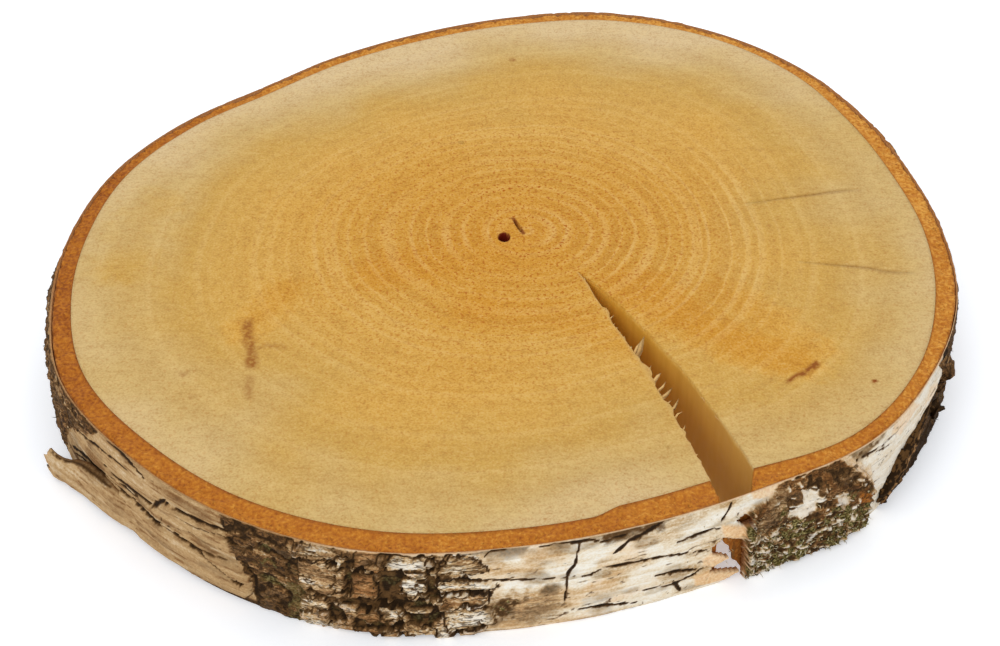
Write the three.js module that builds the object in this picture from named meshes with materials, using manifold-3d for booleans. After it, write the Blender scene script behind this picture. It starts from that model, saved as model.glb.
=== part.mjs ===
// A slice sawn across a birch trunk, lying on its sawn underside: the wood with its long open split,
// the soft inner bark round it, and the cracked outer bark, which still bridges the mouth of the split.
// Millimetres, +Z up. The origin is where the pith meets the underside, and bearings are counted
// counterclockwise from +X, so the split opens at about 297 degrees.
import * as THREE from 'three';
import { mergeVertices } from 'three/addons/utils/BufferGeometryUtils.js';
import Module from 'manifold-3d';

const wasm = await Module();
wasm.setup();

// The slice
const THICKNESS = 29;
const LAYER_GAP = 0.3;
const BEARING_STEP = 15;
// From the pith to the outside of the inner bark, at every BEARING_STEP degrees
const GIRTH = [
  130.5, 130, 133.5, 138.5, 141, 139.5, 131.7, 124.5, 120.2, 118.2, 123.7, 129.5,
  133.4, 137.7, 143, 143.2, 143.7, 141.5, 135.2, 131.2, 130.5, 134.4, 133.8, 133,
];
// Depth of the inner bark at the same bearings
const INNER_BARK = [
  5.3, 5.6, 5.6, 4.2, 3.8, 4.8, 5, 4.6, 4.2, 4, 4, 4.2,
  5, 5.2, 6.2, 6.6, 6.9, 7.2, 6.2, 6, 5.8, 4.4, 4, 5.8,
];
// The inner bark thickens in a short step ahead of the split
const STEP = { from: 279, to: 283, fadeFrom: 292, fadeTo: 312, depth: 2.2 };
const EDGE_SIDES = 144;

// The split, seen from above: its two edges from the tip out past the bark
const SPLIT_TIP = [19.5, -20.4];
const SPLIT_LEFT = [[24, -32.6], [28.6, -45.2], [33.4, -57], [37.4, -68.4], [41.6, -81], [46.1, -95],
  [50, -108.2], [52.7, -117], [52.7, -150]];
const SPLIT_RIGHT = [[26.5, -29.3], [34.2, -42.1], [41.6, -55.7], [46.3, -64.5], [52, -78], [55.6, -87.2],
  [60.4, -99.5], [62.5, -106], [61.5, -113], [61, -150]];

// Fine drying checks in the top face, from near the rim inward, and the small round hole at the pith
const CHECK_DEPTH = 6;
const CHECKS = [
  { bearing: 12.1, from: 76, to: 117, width: 0.9 },
  { bearing: 350, from: 88, to: 125, width: 0.7 },
];
const PITH_HOLE = { x: -2.4, y: -2.6, across: 3.4, along: 4.4, depth: 7, sides: 12 };
const PITH_SLIT = { from: [0.4, 7.2], to: [3.4, -0.6], width: 1.1, depth: 3 };

// The outer bark: rows of plates between level cracks, on a thin papery skin
const COLUMNS = 224;
const ROWS = 5;
const LEVELS_PER_ROW = 3;
const LEVELS = ROWS * LEVELS_PER_ROW;
const CRACK_HALF = 0.7;
const ROW_WAVE = 0.9;
const PLATE_COLUMNS = 3;
const CRACK_SHARE = 0.28;
const SKIN = 1.1;
const THINNEST = 0.8;
// What the bark is like between two bearings: how far it stands proud of the skin, how deep its level
// and its upright cracks are, and how lumpy it is
const ZONES = [
  { upTo: 20, rise: 0.5, levelCracks: 0.4, uprightCracks: 0.2, lumps: 0.5 },
  { upTo: 58, rise: 0.2, levelCracks: 0.2, uprightCracks: 0, lumps: 0.2 },
  { upTo: 84, rise: 1.4, levelCracks: 1.2, uprightCracks: 1, lumps: 0.3 },
  { upTo: 122, rise: 0.2, levelCracks: 0.2, uprightCracks: 0, lumps: 0.2 },
  { upTo: 152, rise: 1.4, levelCracks: 1.1, uprightCracks: 1, lumps: 0.4 },
  { upTo: 187, rise: 0.4, levelCracks: 0.3, uprightCracks: 0.3, lumps: 0.7 },
  { upTo: 206, rise: 1.7, levelCracks: 0.6, uprightCracks: 0.3, lumps: 0.4 },
  { upTo: 242, rise: 0.9, levelCracks: 0.9, uprightCracks: 0, lumps: 0.2 },
  { upTo: 250, rise: 0.9, levelCracks: 0.5, uprightCracks: 0.4, lumps: 0.9 },
  { upTo: 279, rise: 1.4, levelCracks: 1.3, uprightCracks: 1.2, lumps: 0.3 },
  { upTo: 298, rise: 0.2, levelCracks: 0.3, uprightCracks: 0, lumps: 0.1 },
  { upTo: 315.5, rise: 3.1, levelCracks: 0.4, uprightCracks: 0, lumps: 1 },
  { upTo: 341, rise: 0.2, levelCracks: 0.2, uprightCracks: 0, lumps: 0.1 },
  { upTo: 360, rise: 0.6, levelCracks: 0.4, uprightCracks: 0.2, lumps: 0.6 },
];

// The tear in the outer bark at the mouth of the split: corners as bearing and height
const TEAR_BEARING = 296;
const TEAR_HALF = 12;
const UPPER_TEAR = [[295.8, 21.9], [296.6, 19.5], [298.2, 19.4], [298.4, 22.2], [297.2, 23.2]];
const LOWER_TEAR = [[294.4, 17.3], [292.7, 14.5], [292.9, 12.4], [295.4, 8.9], [293.3, 8], [292.6, 6.2],
  [296.8, 3], [295, 1.2], [293.6, -2], [297.6, -2], [297.4, 3.8], [297.2, 14.4], [296.6, 15]];

// The long peeled strip along the foot of the slice, which ends free at the left: bearing, height of its
// middle, and how far its two faces stand out from the inner bark
const STRIP = {
  tall: 9.6,
  bevel: 1,
  stations: [[241.5, 5.6, 0.3, 2.4], [238, 6.2, 0.3, 3.2], [233, 6, 0.3, 3.4], [228, 5.8, 0.3, 3.5],
    [223, 5.6, 0.3, 3.6], [219, 5.4, 0.4, 4], [216.4, 5.4, 1.4, 4.9], [214, 5.3, 4, 6.6],
    [211.6, 5.2, 6.2, 8.4]],
};
// The dark curled peel at the right, a sheet rolled over towards the bark: bearing, height of its middle
// and the roll's radius
const PEEL = {
  stations: [[341, 20.5, 1.6], [338, 18.5, 2.8], [334, 15.5, 3.4], [330.5, 12.2, 3.6], [327, 10, 3.5],
    [323.5, 8.4, 3.5], [320.5, 5.8, 3.3], [318, 3.6, 2.8]],
  wall: 1.2,
  inset: 0.7,
  openFrom: 130,
  openTo: 230,
  steps: 8,
};

// Value between evenly spaced values of a closed list, on a smooth curve through them
function around(values, bearing) {
  const place = THREE.MathUtils.euclideanModulo(bearing, 360) / BEARING_STEP;
  const i = Math.floor(place);
  const t = place - i;
  const [a, b, c, d] = [-1, 0, 1, 2].map((k) => values[(i + k + values.length) % values.length]);
  return b + 0.5 * t * (c - a + t * (2 * a - 5 * b + 4 * c - d + t * (3 * (b - c) + d - a)));
}

function barkEdge(bearing) {
  return around(GIRTH, bearing);
}

function woodEdge(bearing) {
  const step = THREE.MathUtils.smoothstep(bearing, STEP.from, STEP.to)
    - THREE.MathUtils.smoothstep(bearing, STEP.fadeFrom, STEP.fadeTo);
  return barkEdge(bearing) - around(INNER_BARK, bearing) - STEP.depth * step;
}

function polar(bearing, radius, z = 0) {
  const angle = THREE.MathUtils.degToRad(bearing);
  return new THREE.Vector3(radius * Math.cos(angle), radius * Math.sin(angle), z);
}

// The same number from 0 to 1 each time for the same cell
function cellRandom(i, j) {
  const n = Math.sin(i * 127.1 + j * 311.7 + 5.3) * 43758.5453;
  return n - Math.floor(n);
}

function toSolid(geometry) {
  const bare = geometry.clone();
  bare.deleteAttribute('normal');
  bare.deleteAttribute('uv');
  const merged = mergeVertices(bare, 1e-4);
  return new wasm.Manifold(new wasm.Mesh({
    numProp: 3,
    vertProperties: new Float32Array(merged.attributes.position.array),
    triVerts: new Uint32Array(merged.index.array),
  }));
}

function toGeometry(solid) {
  const { vertProperties, triVerts } = solid.getMesh();
  const geometry = new THREE.BufferGeometry();
  geometry.setAttribute('position', new THREE.BufferAttribute(vertProperties, 3));
  geometry.setIndex(new THREE.BufferAttribute(triVerts, 1));
  return geometry;
}

function outlinePoints(edge) {
  return Array.from({ length: EDGE_SIDES }, (_, i) => {
    const bearing = (i * 360) / EDGE_SIDES;
    const point = polar(bearing, edge(bearing));
    return new THREE.Vector2(point.x, point.y);
  });
}

// An upright prism over a shape in plan
function prism(shape, from, to) {
  const geometry = new THREE.ExtrudeGeometry(shape, { depth: to - from, bevelEnabled: false });
  return toSolid(geometry.translate(0, 0, from));
}

// A blind slit in the top face between two points in plan, pointed at both ends
function slit([x0, y0], [x1, y1], width, depth) {
  const along = new THREE.Vector2(x1 - x0, y1 - y0);
  const across = new THREE.Vector2(-along.y, along.x).setLength(width / 2);
  const middle = new THREE.Vector2(x0 + along.x / 2, y0 + along.y / 2);
  const shape = new THREE.Shape([
    new THREE.Vector2(x0, y0),
    middle.clone().sub(across),
    new THREE.Vector2(x1, y1),
    middle.clone().add(across),
  ]);
  return prism(shape, THICKNESS - depth, THICKNESS + 1);
}

// A closed body swept towards lower bearings: each ring is its section at one station, counterclockwise
// as distance from the pith and height
function loft(rings) {
  const size = rings[0].length;
  const corners = rings.flat();
  const positions = corners.flatMap((corner) => [corner.x, corner.y, corner.z]);
  const index = [];
  for (let k = 0; k + 1 < rings.length; k += 1) {
    for (let i = 0; i < size; i += 1) {
      const a = k * size + i;
      const b = k * size + ((i + 1) % size);
      index.push(a, b, b + size, a, b + size, a + size);
    }
  }
  const last = (rings.length - 1) * size;
  const cap = THREE.ShapeUtils.triangulateShape(capOutline(rings[0]), []);
  cap.forEach(([a, b, c]) => index.push(a, c, b));
  const endCap = THREE.ShapeUtils.triangulateShape(capOutline(rings[rings.length - 1]), []);
  endCap.forEach(([a, b, c]) => index.push(last + a, last + b, last + c));
  const geometry = new THREE.BufferGeometry();
  geometry.setAttribute('position', new THREE.Float32BufferAttribute(positions, 3));
  geometry.setIndex(index);
  return toSolid(geometry);
}

// A station's ring in its own plane: distance out from the pith, and height
function capOutline(ring) {
  return ring.map((corner) => new THREE.Vector2(Math.hypot(corner.x, corner.y), corner.z));
}

// The bark's thickness at one column and level of its surface grid
function barkThickness(column, level) {
  const bearing = (column * 360) / COLUMNS;
  const zone = ZONES.find((candidate) => bearing < candidate.upTo);
  const row = Math.min(Math.floor(level / LEVELS_PER_ROW), ROWS - 1);
  const onLevelCrack = level % LEVELS_PER_ROW === 0 && level > 0 && level < LEVELS;
  const onUprightCrack = cellRandom(column, row) < CRACK_SHARE;
  const grain = cellRandom(column, ROWS + level) - 0.5;
  const plate = cellRandom(Math.floor(column / PLATE_COLUMNS), -1 - row) - 0.5;
  const thickness = SKIN + zone.rise + zone.lumps * (0.7 * grain + plate)
    - (onLevelCrack ? zone.levelCracks : 0)
    - (onUprightCrack ? zone.uprightCracks : 0);
  return Math.max(thickness, THINNEST);
}

// Height of a level of the grid: cracks wave a little between the two flat sawn rims
function levelHeight(column, level) {
  const row = Math.floor(level / LEVELS_PER_ROW);
  const place = level % LEVELS_PER_ROW;
  const bearing = (column * 2 * Math.PI) / COLUMNS;
  const wave = (k) => (k === 0 || k === ROWS ? 0
    : ROW_WAVE * Math.sin(3 * bearing + 2 * k) * Math.cos(7 * bearing + k));
  const line = (k) => (k * THICKNESS) / ROWS + wave(k);
  if (place === 0) {
    return line(row);
  }
  return place === 1 ? line(row) + CRACK_HALF : line(row + 1) - CRACK_HALF;
}

function outerBarkRing() {
  const rings = Array.from({ length: COLUMNS }, (_, column) => {
    const bearing = (column * 360) / COLUMNS;
    const inside = barkEdge(bearing) + LAYER_GAP;
    const outside = Array.from({ length: LEVELS + 1 }, (__, level) => (
      polar(bearing, inside + barkThickness(column, level), levelHeight(column, level))));
    return [polar(bearing, inside, THICKNESS), polar(bearing, inside, 0), ...outside];
  });
  return closedRing(rings);
}

// A ring-shaped body from stations that go all the way round
function closedRing(rings) {
  const size = rings[0].length;
  const positions = rings.flat().flatMap((corner) => [corner.x, corner.y, corner.z]);
  const index = [];
  rings.forEach((_, k) => {
    for (let i = 0; i < size; i += 1) {
      const a = k * size + i;
      const b = k * size + ((i + 1) % size);
      const c = ((k + 1) % rings.length) * size + ((i + 1) % size);
      const d = ((k + 1) % rings.length) * size + i;
      index.push(a, d, c, a, c, b);
    }
  });
  const geometry = new THREE.BufferGeometry();
  geometry.setAttribute('position', new THREE.Float32BufferAttribute(positions, 3));
  geometry.setIndex(index);
  return toSolid(geometry);
}

// A hole straight through the outer bark, from corners given as bearing and height
function tear(corners) {
  const reach = barkEdge(TEAR_BEARING);
  const outward = polar(TEAR_BEARING, 1);
  const sideways = polar(TEAR_BEARING + 90, 1);
  const shape = new THREE.Shape(corners.map(([bearing, z]) => new THREE.Vector2(
    THREE.MathUtils.degToRad(bearing - TEAR_BEARING) * reach, z)));
  const geometry = new THREE.ExtrudeGeometry(shape, { depth: 2 * TEAR_HALF, bevelEnabled: false });
  const placed = new THREE.Matrix4().makeBasis(sideways, new THREE.Vector3(0, 0, 1), outward);
  geometry.applyMatrix4(placed.setPosition(outward.clone().multiplyScalar(reach - TEAR_HALF)));
  return toSolid(geometry);
}

function strip() {
  return loft(STRIP.stations.map(([bearing, z, inner, outer]) => {
    const foot = barkEdge(bearing) + LAYER_GAP;
    const low = z - STRIP.tall / 2;
    const high = z + STRIP.tall / 2;
    return [
      polar(bearing, foot + inner, low),
      polar(bearing, foot + outer - STRIP.bevel, low),
      polar(bearing, foot + outer, low + STRIP.bevel),
      polar(bearing, foot + outer, high - STRIP.bevel),
      polar(bearing, foot + outer - STRIP.bevel, high),
      polar(bearing, foot + inner, high),
    ];
  }));
}

function peel() {
  const { stations, wall, inset, openFrom, openTo, steps } = PEEL;
  const turn = 360 - (openTo - openFrom);
  const arc = (radius, start, end) => Array.from({ length: steps + 1 }, (_, i) => {
    const angle = THREE.MathUtils.degToRad(start + ((end - start) * i) / steps);
    return [radius * Math.cos(angle), radius * Math.sin(angle)];
  });
  return loft(stations.map(([bearing, z, radius]) => {
    const section = [...arc(radius, openTo, openTo + turn), ...arc(radius - wall, openTo + turn, openTo)];
    const middle = barkEdge(bearing) + LAYER_GAP + radius * inset;
    return section.map(([out, up]) => polar(bearing, middle + out, z + up));
  }));
}

const splitShape = new THREE.Shape([SPLIT_TIP, ...SPLIT_LEFT, ...SPLIT_RIGHT.toReversed()]
  .map(([x, y]) => new THREE.Vector2(x, y)));
const split = prism(splitShape, -1, THICKNESS + 1);

function woodSolid() {
  const disc = prism(new THREE.Shape(outlinePoints(woodEdge)), 0, THICKNESS);
  const hole = new THREE.Shape();
  hole.absellipse(PITH_HOLE.x, PITH_HOLE.y, PITH_HOLE.across / 2, PITH_HOLE.along / 2, 0, 2 * Math.PI);
  const holeShape = new THREE.Shape(hole.getSpacedPoints(PITH_HOLE.sides).slice(0, -1));
  const cuts = [
    split,
    prism(holeShape, THICKNESS - PITH_HOLE.depth, THICKNESS + 1),
    slit(PITH_SLIT.from, PITH_SLIT.to, PITH_SLIT.width, PITH_SLIT.depth),
    ...CHECKS.map(({ bearing, from, to, width }) => slit(
      polar(bearing, from).toArray(), polar(bearing, to).toArray(), width, CHECK_DEPTH)),
  ];
  return cuts.reduce((solid, cut) => solid.subtract(cut), disc);
}

function innerBarkSolid() {
  const shape = new THREE.Shape(outlinePoints(barkEdge));
  shape.holes.push(new THREE.Path(outlinePoints((bearing) => woodEdge(bearing) + LAYER_GAP)));
  return prism(shape, 0, THICKNESS).subtract(split);
}

function outerBarkSolid() {
  return outerBarkRing()
    .add(strip())
    .add(peel())
    .subtract(tear(UPPER_TEAR))
    .subtract(tear(LOWER_TEAR));
}

function addPiece(group, name, solid, color, roughness) {
  const material = new THREE.MeshStandardMaterial({ color, roughness, metalness: 0 });
  const mesh = new THREE.Mesh(toGeometry(solid), material);
  mesh.name = name;
  group.add(mesh);
}

const slice = new THREE.Group();
addPiece(slice, 'wood', woodSolid(), 0xcba05c, 0.75);
addPiece(slice, 'inner_bark', innerBarkSolid(), 0xb26d29, 0.9);
addPiece(slice, 'outer_bark', outerBarkSolid(), 0xb5a793, 0.85);

export default slice;
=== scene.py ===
"""The looks of the wood slice: a birch slice lying on its sawn underside, with its open split, its orange
inner bark and its cracked white outer bark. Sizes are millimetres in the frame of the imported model, and
MM turns them into Blender's metres. Bearings are degrees counterclockwise from +X."""
import math

import bmesh
import bpy
import numpy as np
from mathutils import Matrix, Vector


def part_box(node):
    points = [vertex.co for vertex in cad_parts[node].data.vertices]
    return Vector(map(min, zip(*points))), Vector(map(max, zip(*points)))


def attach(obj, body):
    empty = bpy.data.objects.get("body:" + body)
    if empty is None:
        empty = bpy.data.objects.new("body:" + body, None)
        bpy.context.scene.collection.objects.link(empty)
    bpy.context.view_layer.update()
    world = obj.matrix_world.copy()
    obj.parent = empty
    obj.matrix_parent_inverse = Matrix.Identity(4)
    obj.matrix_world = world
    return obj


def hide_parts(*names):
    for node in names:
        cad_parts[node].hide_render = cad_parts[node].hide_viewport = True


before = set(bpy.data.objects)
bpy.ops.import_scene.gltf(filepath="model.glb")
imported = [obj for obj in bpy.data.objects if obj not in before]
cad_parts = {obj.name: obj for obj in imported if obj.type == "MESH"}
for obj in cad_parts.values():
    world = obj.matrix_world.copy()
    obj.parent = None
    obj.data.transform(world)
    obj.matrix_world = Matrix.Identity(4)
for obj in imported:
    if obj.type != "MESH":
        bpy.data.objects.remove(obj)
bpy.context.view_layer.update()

MM = 0.001
BODY = "root"
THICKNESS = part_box("wood")[1].z / MM
# The clear space between the inner and the outer bark
LAYER_GAP = 0.3

# The slice's outline, as in the part's source: from the pith to the outside of the inner bark, and the
# inner bark's depth, at every BEARING_STEP degrees
BEARING_STEP = 15
GIRTH = [
    130.5, 130, 133.5, 138.5, 141, 139.5, 131.7, 124.5, 120.2, 118.2, 123.7, 129.5,
    133.4, 137.7, 143, 143.2, 143.7, 141.5, 135.2, 131.2, 130.5, 134.4, 133.8, 133,
]
INNER_BARK = [
    5.3, 5.6, 5.6, 4.2, 3.8, 4.8, 5, 4.6, 4.2, 4, 4, 4.2,
    5, 5.2, 6.2, 6.6, 6.9, 7.2, 6.2, 6, 5.8, 4.4, 4, 5.8,
]
STEP_START, STEP_END, STEP_FADE, STEP_GONE, STEP_DEPTH = 279, 283, 292, 312, 2.2

# The split's two edges in plan, from its tip out past the bark
SPLIT_TIP = (19.5, -20.4)
SPLIT_LEFT = [SPLIT_TIP, (24, -32.6), (28.6, -45.2), (33.4, -57), (37.4, -68.4), (41.6, -81), (46.1, -95),
              (50, -108.2), (52.7, -117), (52.7, -150)]
SPLIT_RIGHT = [SPLIT_TIP, (26.5, -29.3), (34.2, -42.1), (41.6, -55.7), (46.3, -64.5), (52, -78),
               (55.6, -87.2), (60.4, -99.5), (62.5, -106), (61.5, -113), (61, -150)]
TIP_RADIUS = math.hypot(*SPLIT_TIP)
# The bearing of the split's mouth, and the share of the round whose columns of points lean towards it
SEAM = 300
SEAM_REACH = 45 / 360

PITH_HOLE = {"x": -2.4, "y": -2.6, "half_x": 1.6, "half_y": 2.1, "depth": 5}
PITH_SLIT = {"start": (0.4, 7.2), "end": (3.4, -0.6), "half": 0.6, "depth": 3}
CHECK_DEPTH = 3
CHECKS = [
    {"bearing": 12.1, "start": 76, "end": 117, "half": 0.22},
    {"bearing": 350, "start": 88, "end": 125, "half": 0.14},
]

# The tear in the outer bark at the mouth of the split: corners as bearing and height
UPPER_TEAR = [(295.8, 21.9), (296.6, 19.5), (298.2, 19.4), (298.4, 22.2), (297.2, 23.2)]
LOWER_TEAR = [(294.4, 17.3), (292.7, 14.5), (292.9, 12.4), (295.4, 8.9), (293.3, 8), (292.6, 6.2),
              (296.8, 3), (295, 1.2), (293.6, -2), (297.6, -2), (297.4, 3.8), (297.2, 14.4), (296.6, 15)]


def smooth(value, low, high):
    """0 below low, 1 above high and an even curve between; low may be the larger of the two."""
    t = np.clip((value - low) / (high - low), 0, 1)
    return t * t * (3 - 2 * t)


def within(bearing, start, end, soft=1.0):
    """1 between two bearings and 0 outside them."""
    middle, half = (start + end) / 2, (end - start) / 2
    away = np.abs((bearing - middle + 180) % 360 - 180)
    return smooth(away, half + soft, half - soft)


def hashed(i, j, k, seed):
    """The same number from 0 to 1 each time for the same whole-numbered place."""
    n = np.sin(i * 127.1 + j * 311.7 + k * 74.7 + seed * 53.3) * 43758.5453
    return n - np.floor(n)


def noise(x, y, z, seed=0):
    """Smooth noise from 0 to 1, with one lump a unit."""
    x, y, z = np.broadcast_arrays(x, y, z)
    i, j, k = np.floor(x), np.floor(y), np.floor(z)
    u, v, w = (t * t * (3 - 2 * t) for t in (x - i, y - j, z - k))
    total = np.zeros(x.shape)
    for di, wu in ((0, 1 - u), (1, u)):
        for dj, wv in ((0, 1 - v), (1, v)):
            for dk, ww in ((0, 1 - w), (1, w)):
                total += wu * wv * ww * hashed(i + di, j + dj, k + dk, seed)
    return total


def layered(x, y, z, seed=0, octaves=3):
    """Noise with finer noise on it, from 0 to 1."""
    total = sum(noise(x * 2 ** n, y * 2 ** n, z * 2 ** n, seed + n) / 2 ** n for n in range(octaves))
    return total / sum(1 / 2 ** n for n in range(octaves))


def on_curve(a, b, c, d, t):
    """A place on a smooth curve through four values, at b where t is 0 and at c where t is 1."""
    return b + 0.5 * t * (c - a + t * (2 * a - 5 * b + 4 * c - d + t * (3 * (b - c) + d - a)))


def around(values, bearing):
    """Value between evenly spaced values of a closed list, on a smooth curve through them."""
    place = np.mod(bearing, 360) / BEARING_STEP
    i = np.floor(place).astype(int)
    values = np.array(values, float)
    return on_curve(*(values[(i + k) % len(values)] for k in (-1, 0, 1, 2)), place - i)


def bark_edge(bearing):
    return around(GIRTH, bearing)


def wood_edge(bearing):
    b = np.mod(bearing, 360)
    step = smooth(b, STEP_START, STEP_END) - smooth(b, STEP_FADE, STEP_GONE)
    return bark_edge(b) - around(INNER_BARK, b) - STEP_DEPTH * step


def polar(bearing, radius, z):
    """Points from bearings, distances from the pith and heights."""
    angle = np.radians(bearing)
    return np.stack(np.broadcast_arrays(radius * np.cos(angle), radius * np.sin(angle), z), -1)


def edge_bearings(edge, radius):
    """Bearing of one edge of the split at a distance from the pith."""
    x, y = np.array(edge, float).T
    return np.interp(radius, np.hypot(x, y), np.degrees(np.arctan2(y, x)) % 360)


def column_bearing(share, radius):
    """Bearing of a column of points: share runs from 0 at the split's right edge, round the slice, to 1
    at its left edge."""
    right = edge_bearings(SPLIT_RIGHT, radius) - SEAM
    left = edge_bearings(SPLIT_LEFT, radius) - SEAM
    pull = smooth(share, SEAM_REACH, 0) * right + smooth(share, 1 - SEAM_REACH, 1) * left
    return SEAM + 360 * share + pull


def beyond(bearing, out, z):
    """Points at a distance out from the outer bark's inner face."""
    return polar(bearing, bark_edge(bearing) + LAYER_GAP + out, z)


def directions(bearing):
    """Level directions straight out of the slice, and along its edge."""
    return polar(bearing, 1, 0 * bearing), polar(bearing + 90, 1, 0 * bearing)


def grid_faces(index, closed=False):
    """Quads over a table of vertex numbers. They face along first axis × second axis."""
    if closed:
        index = np.vstack([index, index[:1]])
    return np.stack([index[:-1, :-1], index[1:, :-1], index[1:, 1:], index[:-1, 1:]], -1).reshape(-1, 4)


def make_mesh(name, points, faces):
    """A mesh from points in millimetres and lists of faces, each list a table with a row per face."""
    mesh = bpy.data.meshes.new(name)
    faces = [np.atleast_2d(rows) for rows in faces if len(rows)]
    corners = np.concatenate([rows.ravel() for rows in faces]).astype(np.int32)
    sizes = np.concatenate([np.full(len(rows), rows.shape[1]) for rows in faces])
    starts = np.concatenate([[0], np.cumsum(sizes)[:-1]]).astype(np.int32)
    mesh.vertices.add(len(points))
    mesh.vertices.foreach_set("co", (np.asarray(points, float) * MM).astype(np.float32).ravel())
    mesh.loops.add(len(corners))
    mesh.loops.foreach_set("vertex_index", corners)
    mesh.polygons.add(len(sizes))
    mesh.polygons.foreach_set("loop_start", starts)
    mesh.update(calc_edges=True)
    mesh.polygons.foreach_set("use_smooth", np.ones(len(sizes), bool))
    return mesh


def add_values(mesh, **values):
    """Stores a number for each vertex under each name, for the materials to read."""
    for name, numbers in values.items():
        layer = mesh.attributes.new(name, "FLOAT", "POINT")
        layer.data.foreach_set("value", np.asarray(numbers, np.float32).ravel())


def change_mesh(mesh, change):
    """Puts a mesh through a change made with Blender's mesh tools."""
    work = bmesh.new()
    work.from_mesh(mesh)
    change(work)
    work.to_mesh(mesh)
    work.free()


def drop_unused(work):
    """Takes out the points that no face uses."""
    bmesh.ops.delete(work, geom=[vertex for vertex in work.verts if not vertex.link_faces], context="VERTS")


def face_out(work):
    """Turns every face of a closed mesh outward."""
    bmesh.ops.recalc_face_normals(work, faces=work.faces)
    if work.calc_volume(signed=True) < 0:
        bmesh.ops.reverse_faces(work, faces=work.faces)


def loft_faces(stations, size):
    """Faces of a body swept through stations, each a closed loop of size points, with both ends shut."""
    index = np.arange(stations * size).reshape(stations, size)
    loop = np.hstack([index, index[:, :1]])
    return [grid_faces(loop), index[0][None, :], index[-1][None, ::-1]]


def flipped(faces):
    return [rows[:, ::-1] for rows in faces]


def add_object(name, data):
    item = bpy.data.objects.new(name, data)
    bpy.context.scene.collection.objects.link(item)
    return item


def add_piece(name, mesh, material, node=None):
    """Puts a finished mesh in the scene, on the slice's one body."""
    piece = add_object(name, mesh)
    mesh.materials.append(material)
    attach(piece, BODY)
    if node:
        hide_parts(node)


def tint(red, green, blue):
    """A colour as a shader takes it, from the 0 to 255 of a screen."""
    def linear(value):
        c = value / 255
        return c / 12.92 if c <= 0.04045 else ((c + 0.055) / 1.055) ** 2.4
    return (linear(red), linear(green), linear(blue), 1)


class Value:
    """An output of a node. Each sum, difference, product or quotient of it makes a math node."""

    def __init__(self, look, socket):
        self.look = look
        self.socket = socket

    def __add__(self, other):
        return self.look.math("ADD", self, other)

    def __sub__(self, other):
        return self.look.math("SUBTRACT", self, other)

    def __rsub__(self, other):
        return self.look.math("SUBTRACT", other, self)

    def __mul__(self, other):
        return self.look.math("MULTIPLY", self, other)

    def __truediv__(self, other):
        return self.look.math("DIVIDE", self, other)


class Look:
    """A node material being put together."""

    def __init__(self, name):
        self.material = bpy.data.materials.new(name)
        self.material.use_nodes = True
        self.tree = self.material.node_tree
        self.tree.nodes.clear()
        self.place = self.node("ShaderNodeTexCoord", output="Object")

    def node(self, kind, inputs=None, output=0, **settings):
        """An output of a new node. Its inputs are numbers, colours or outputs of other nodes."""
        node = self.tree.nodes.new(kind)
        for key, value in settings.items():
            setattr(node, key, value)
        for key, value in (inputs or {}).items():
            if isinstance(value, Value):
                self.tree.links.new(value.socket, node.inputs[key])
            else:
                node.inputs[key].default_value = value
        return Value(self, node.outputs[output])

    def values(self, *names):
        """The numbers that add_values has stored under each name."""
        return [self.node("ShaderNodeAttribute", output="Fac", attribute_name=name) for name in names]

    def grain(self, size, stretch=(1, 1, 1), detail=2):
        """Noise with lumps of about size millimetres, drawn out along axes where stretch is above 1."""
        scale = tuple(1 / (size * MM * times) for times in stretch)
        place = self.node("ShaderNodeVectorMath", {0: self.place, 1: scale}, operation="MULTIPLY")
        return self.node("ShaderNodeTexNoise", {"Vector": place, "Scale": 1, "Detail": detail})

    def math(self, operation, a, b=0.0):
        return self.node("ShaderNodeMath", {0: a, 1: b}, operation=operation)

    def span(self, value, low, high, new_low=0.0, new_high=1.0):
        """Smoothly from new_low at low to new_high at high."""
        inputs = {"Value": value, "From Min": low, "From Max": high, "To Min": new_low, "To Max": new_high}
        return self.node("ShaderNodeMapRange", inputs, interpolation_type="SMOOTHSTEP")

    def ramp(self, value, *stops):
        """Colours along a value. Each stop is a position and a screen colour."""
        output = self.node("ShaderNodeValToRGB", {0: value})
        elements = output.socket.node.color_ramp.elements
        while len(elements) < len(stops):
            elements.new(1)
        for element, (position, *colour) in zip(elements, stops):
            element.position = position
            element.color = tint(*colour)
        return output

    def mix(self, factor, a, b):
        """From colour a where the factor is 0 or less to colour b where it is 1 or more."""
        return self.node("ShaderNodeMix", {0: factor, 6: a, 7: b}, output=2, data_type="RGBA")

    def bump(self, height, depth):
        """Relief of depth millimetres from a height of 0 to 1."""
        return self.node("ShaderNodeBump", {"Height": height, "Distance": depth * MM, "Strength": 1.0})

    def finish(self, colour, roughness, normal, specular=0.3, glow=0.0):
        shader = self.node("ShaderNodeBsdfPrincipled", {
            "Base Color": colour, "Roughness": roughness, "Normal": normal, "Specular IOR Level": specular,
            "Emission Color": (1, 1, 1, 1), "Emission Strength": glow,
        })
        output = self.tree.nodes.new("ShaderNodeOutputMaterial")
        self.tree.links.new(shader.socket, output.inputs["Surface"])
        return self.material


# The wood

# Rings of points out to each distance from the pith: how many columns they have, and their spacing
WOOD_RIM = 130.0
SECTIONS = [(12, 96, 0.55), (36, 192, 1.2), (84, 384, 1.2), (WOOD_RIM, 768, 1.25)]
# The underside has only the first of each group of so many rings
COARSE_STEP = 4
# Rings are round up to the first distance, and have the trunk's outline from the second
ROUND_TO, OUTLINE_FROM = 30, 95
WALL_LEVELS = 16
# The split's left edge is ragged from this far past the tip, where the split gapes more than this
RAGGED_FROM = 4
RAGGED_GAP = 2.5
# Where the innermost growth rings have their middle
RING_MIDDLE = (4.5, 0.5)
RING_SPACING = 5.4

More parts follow.
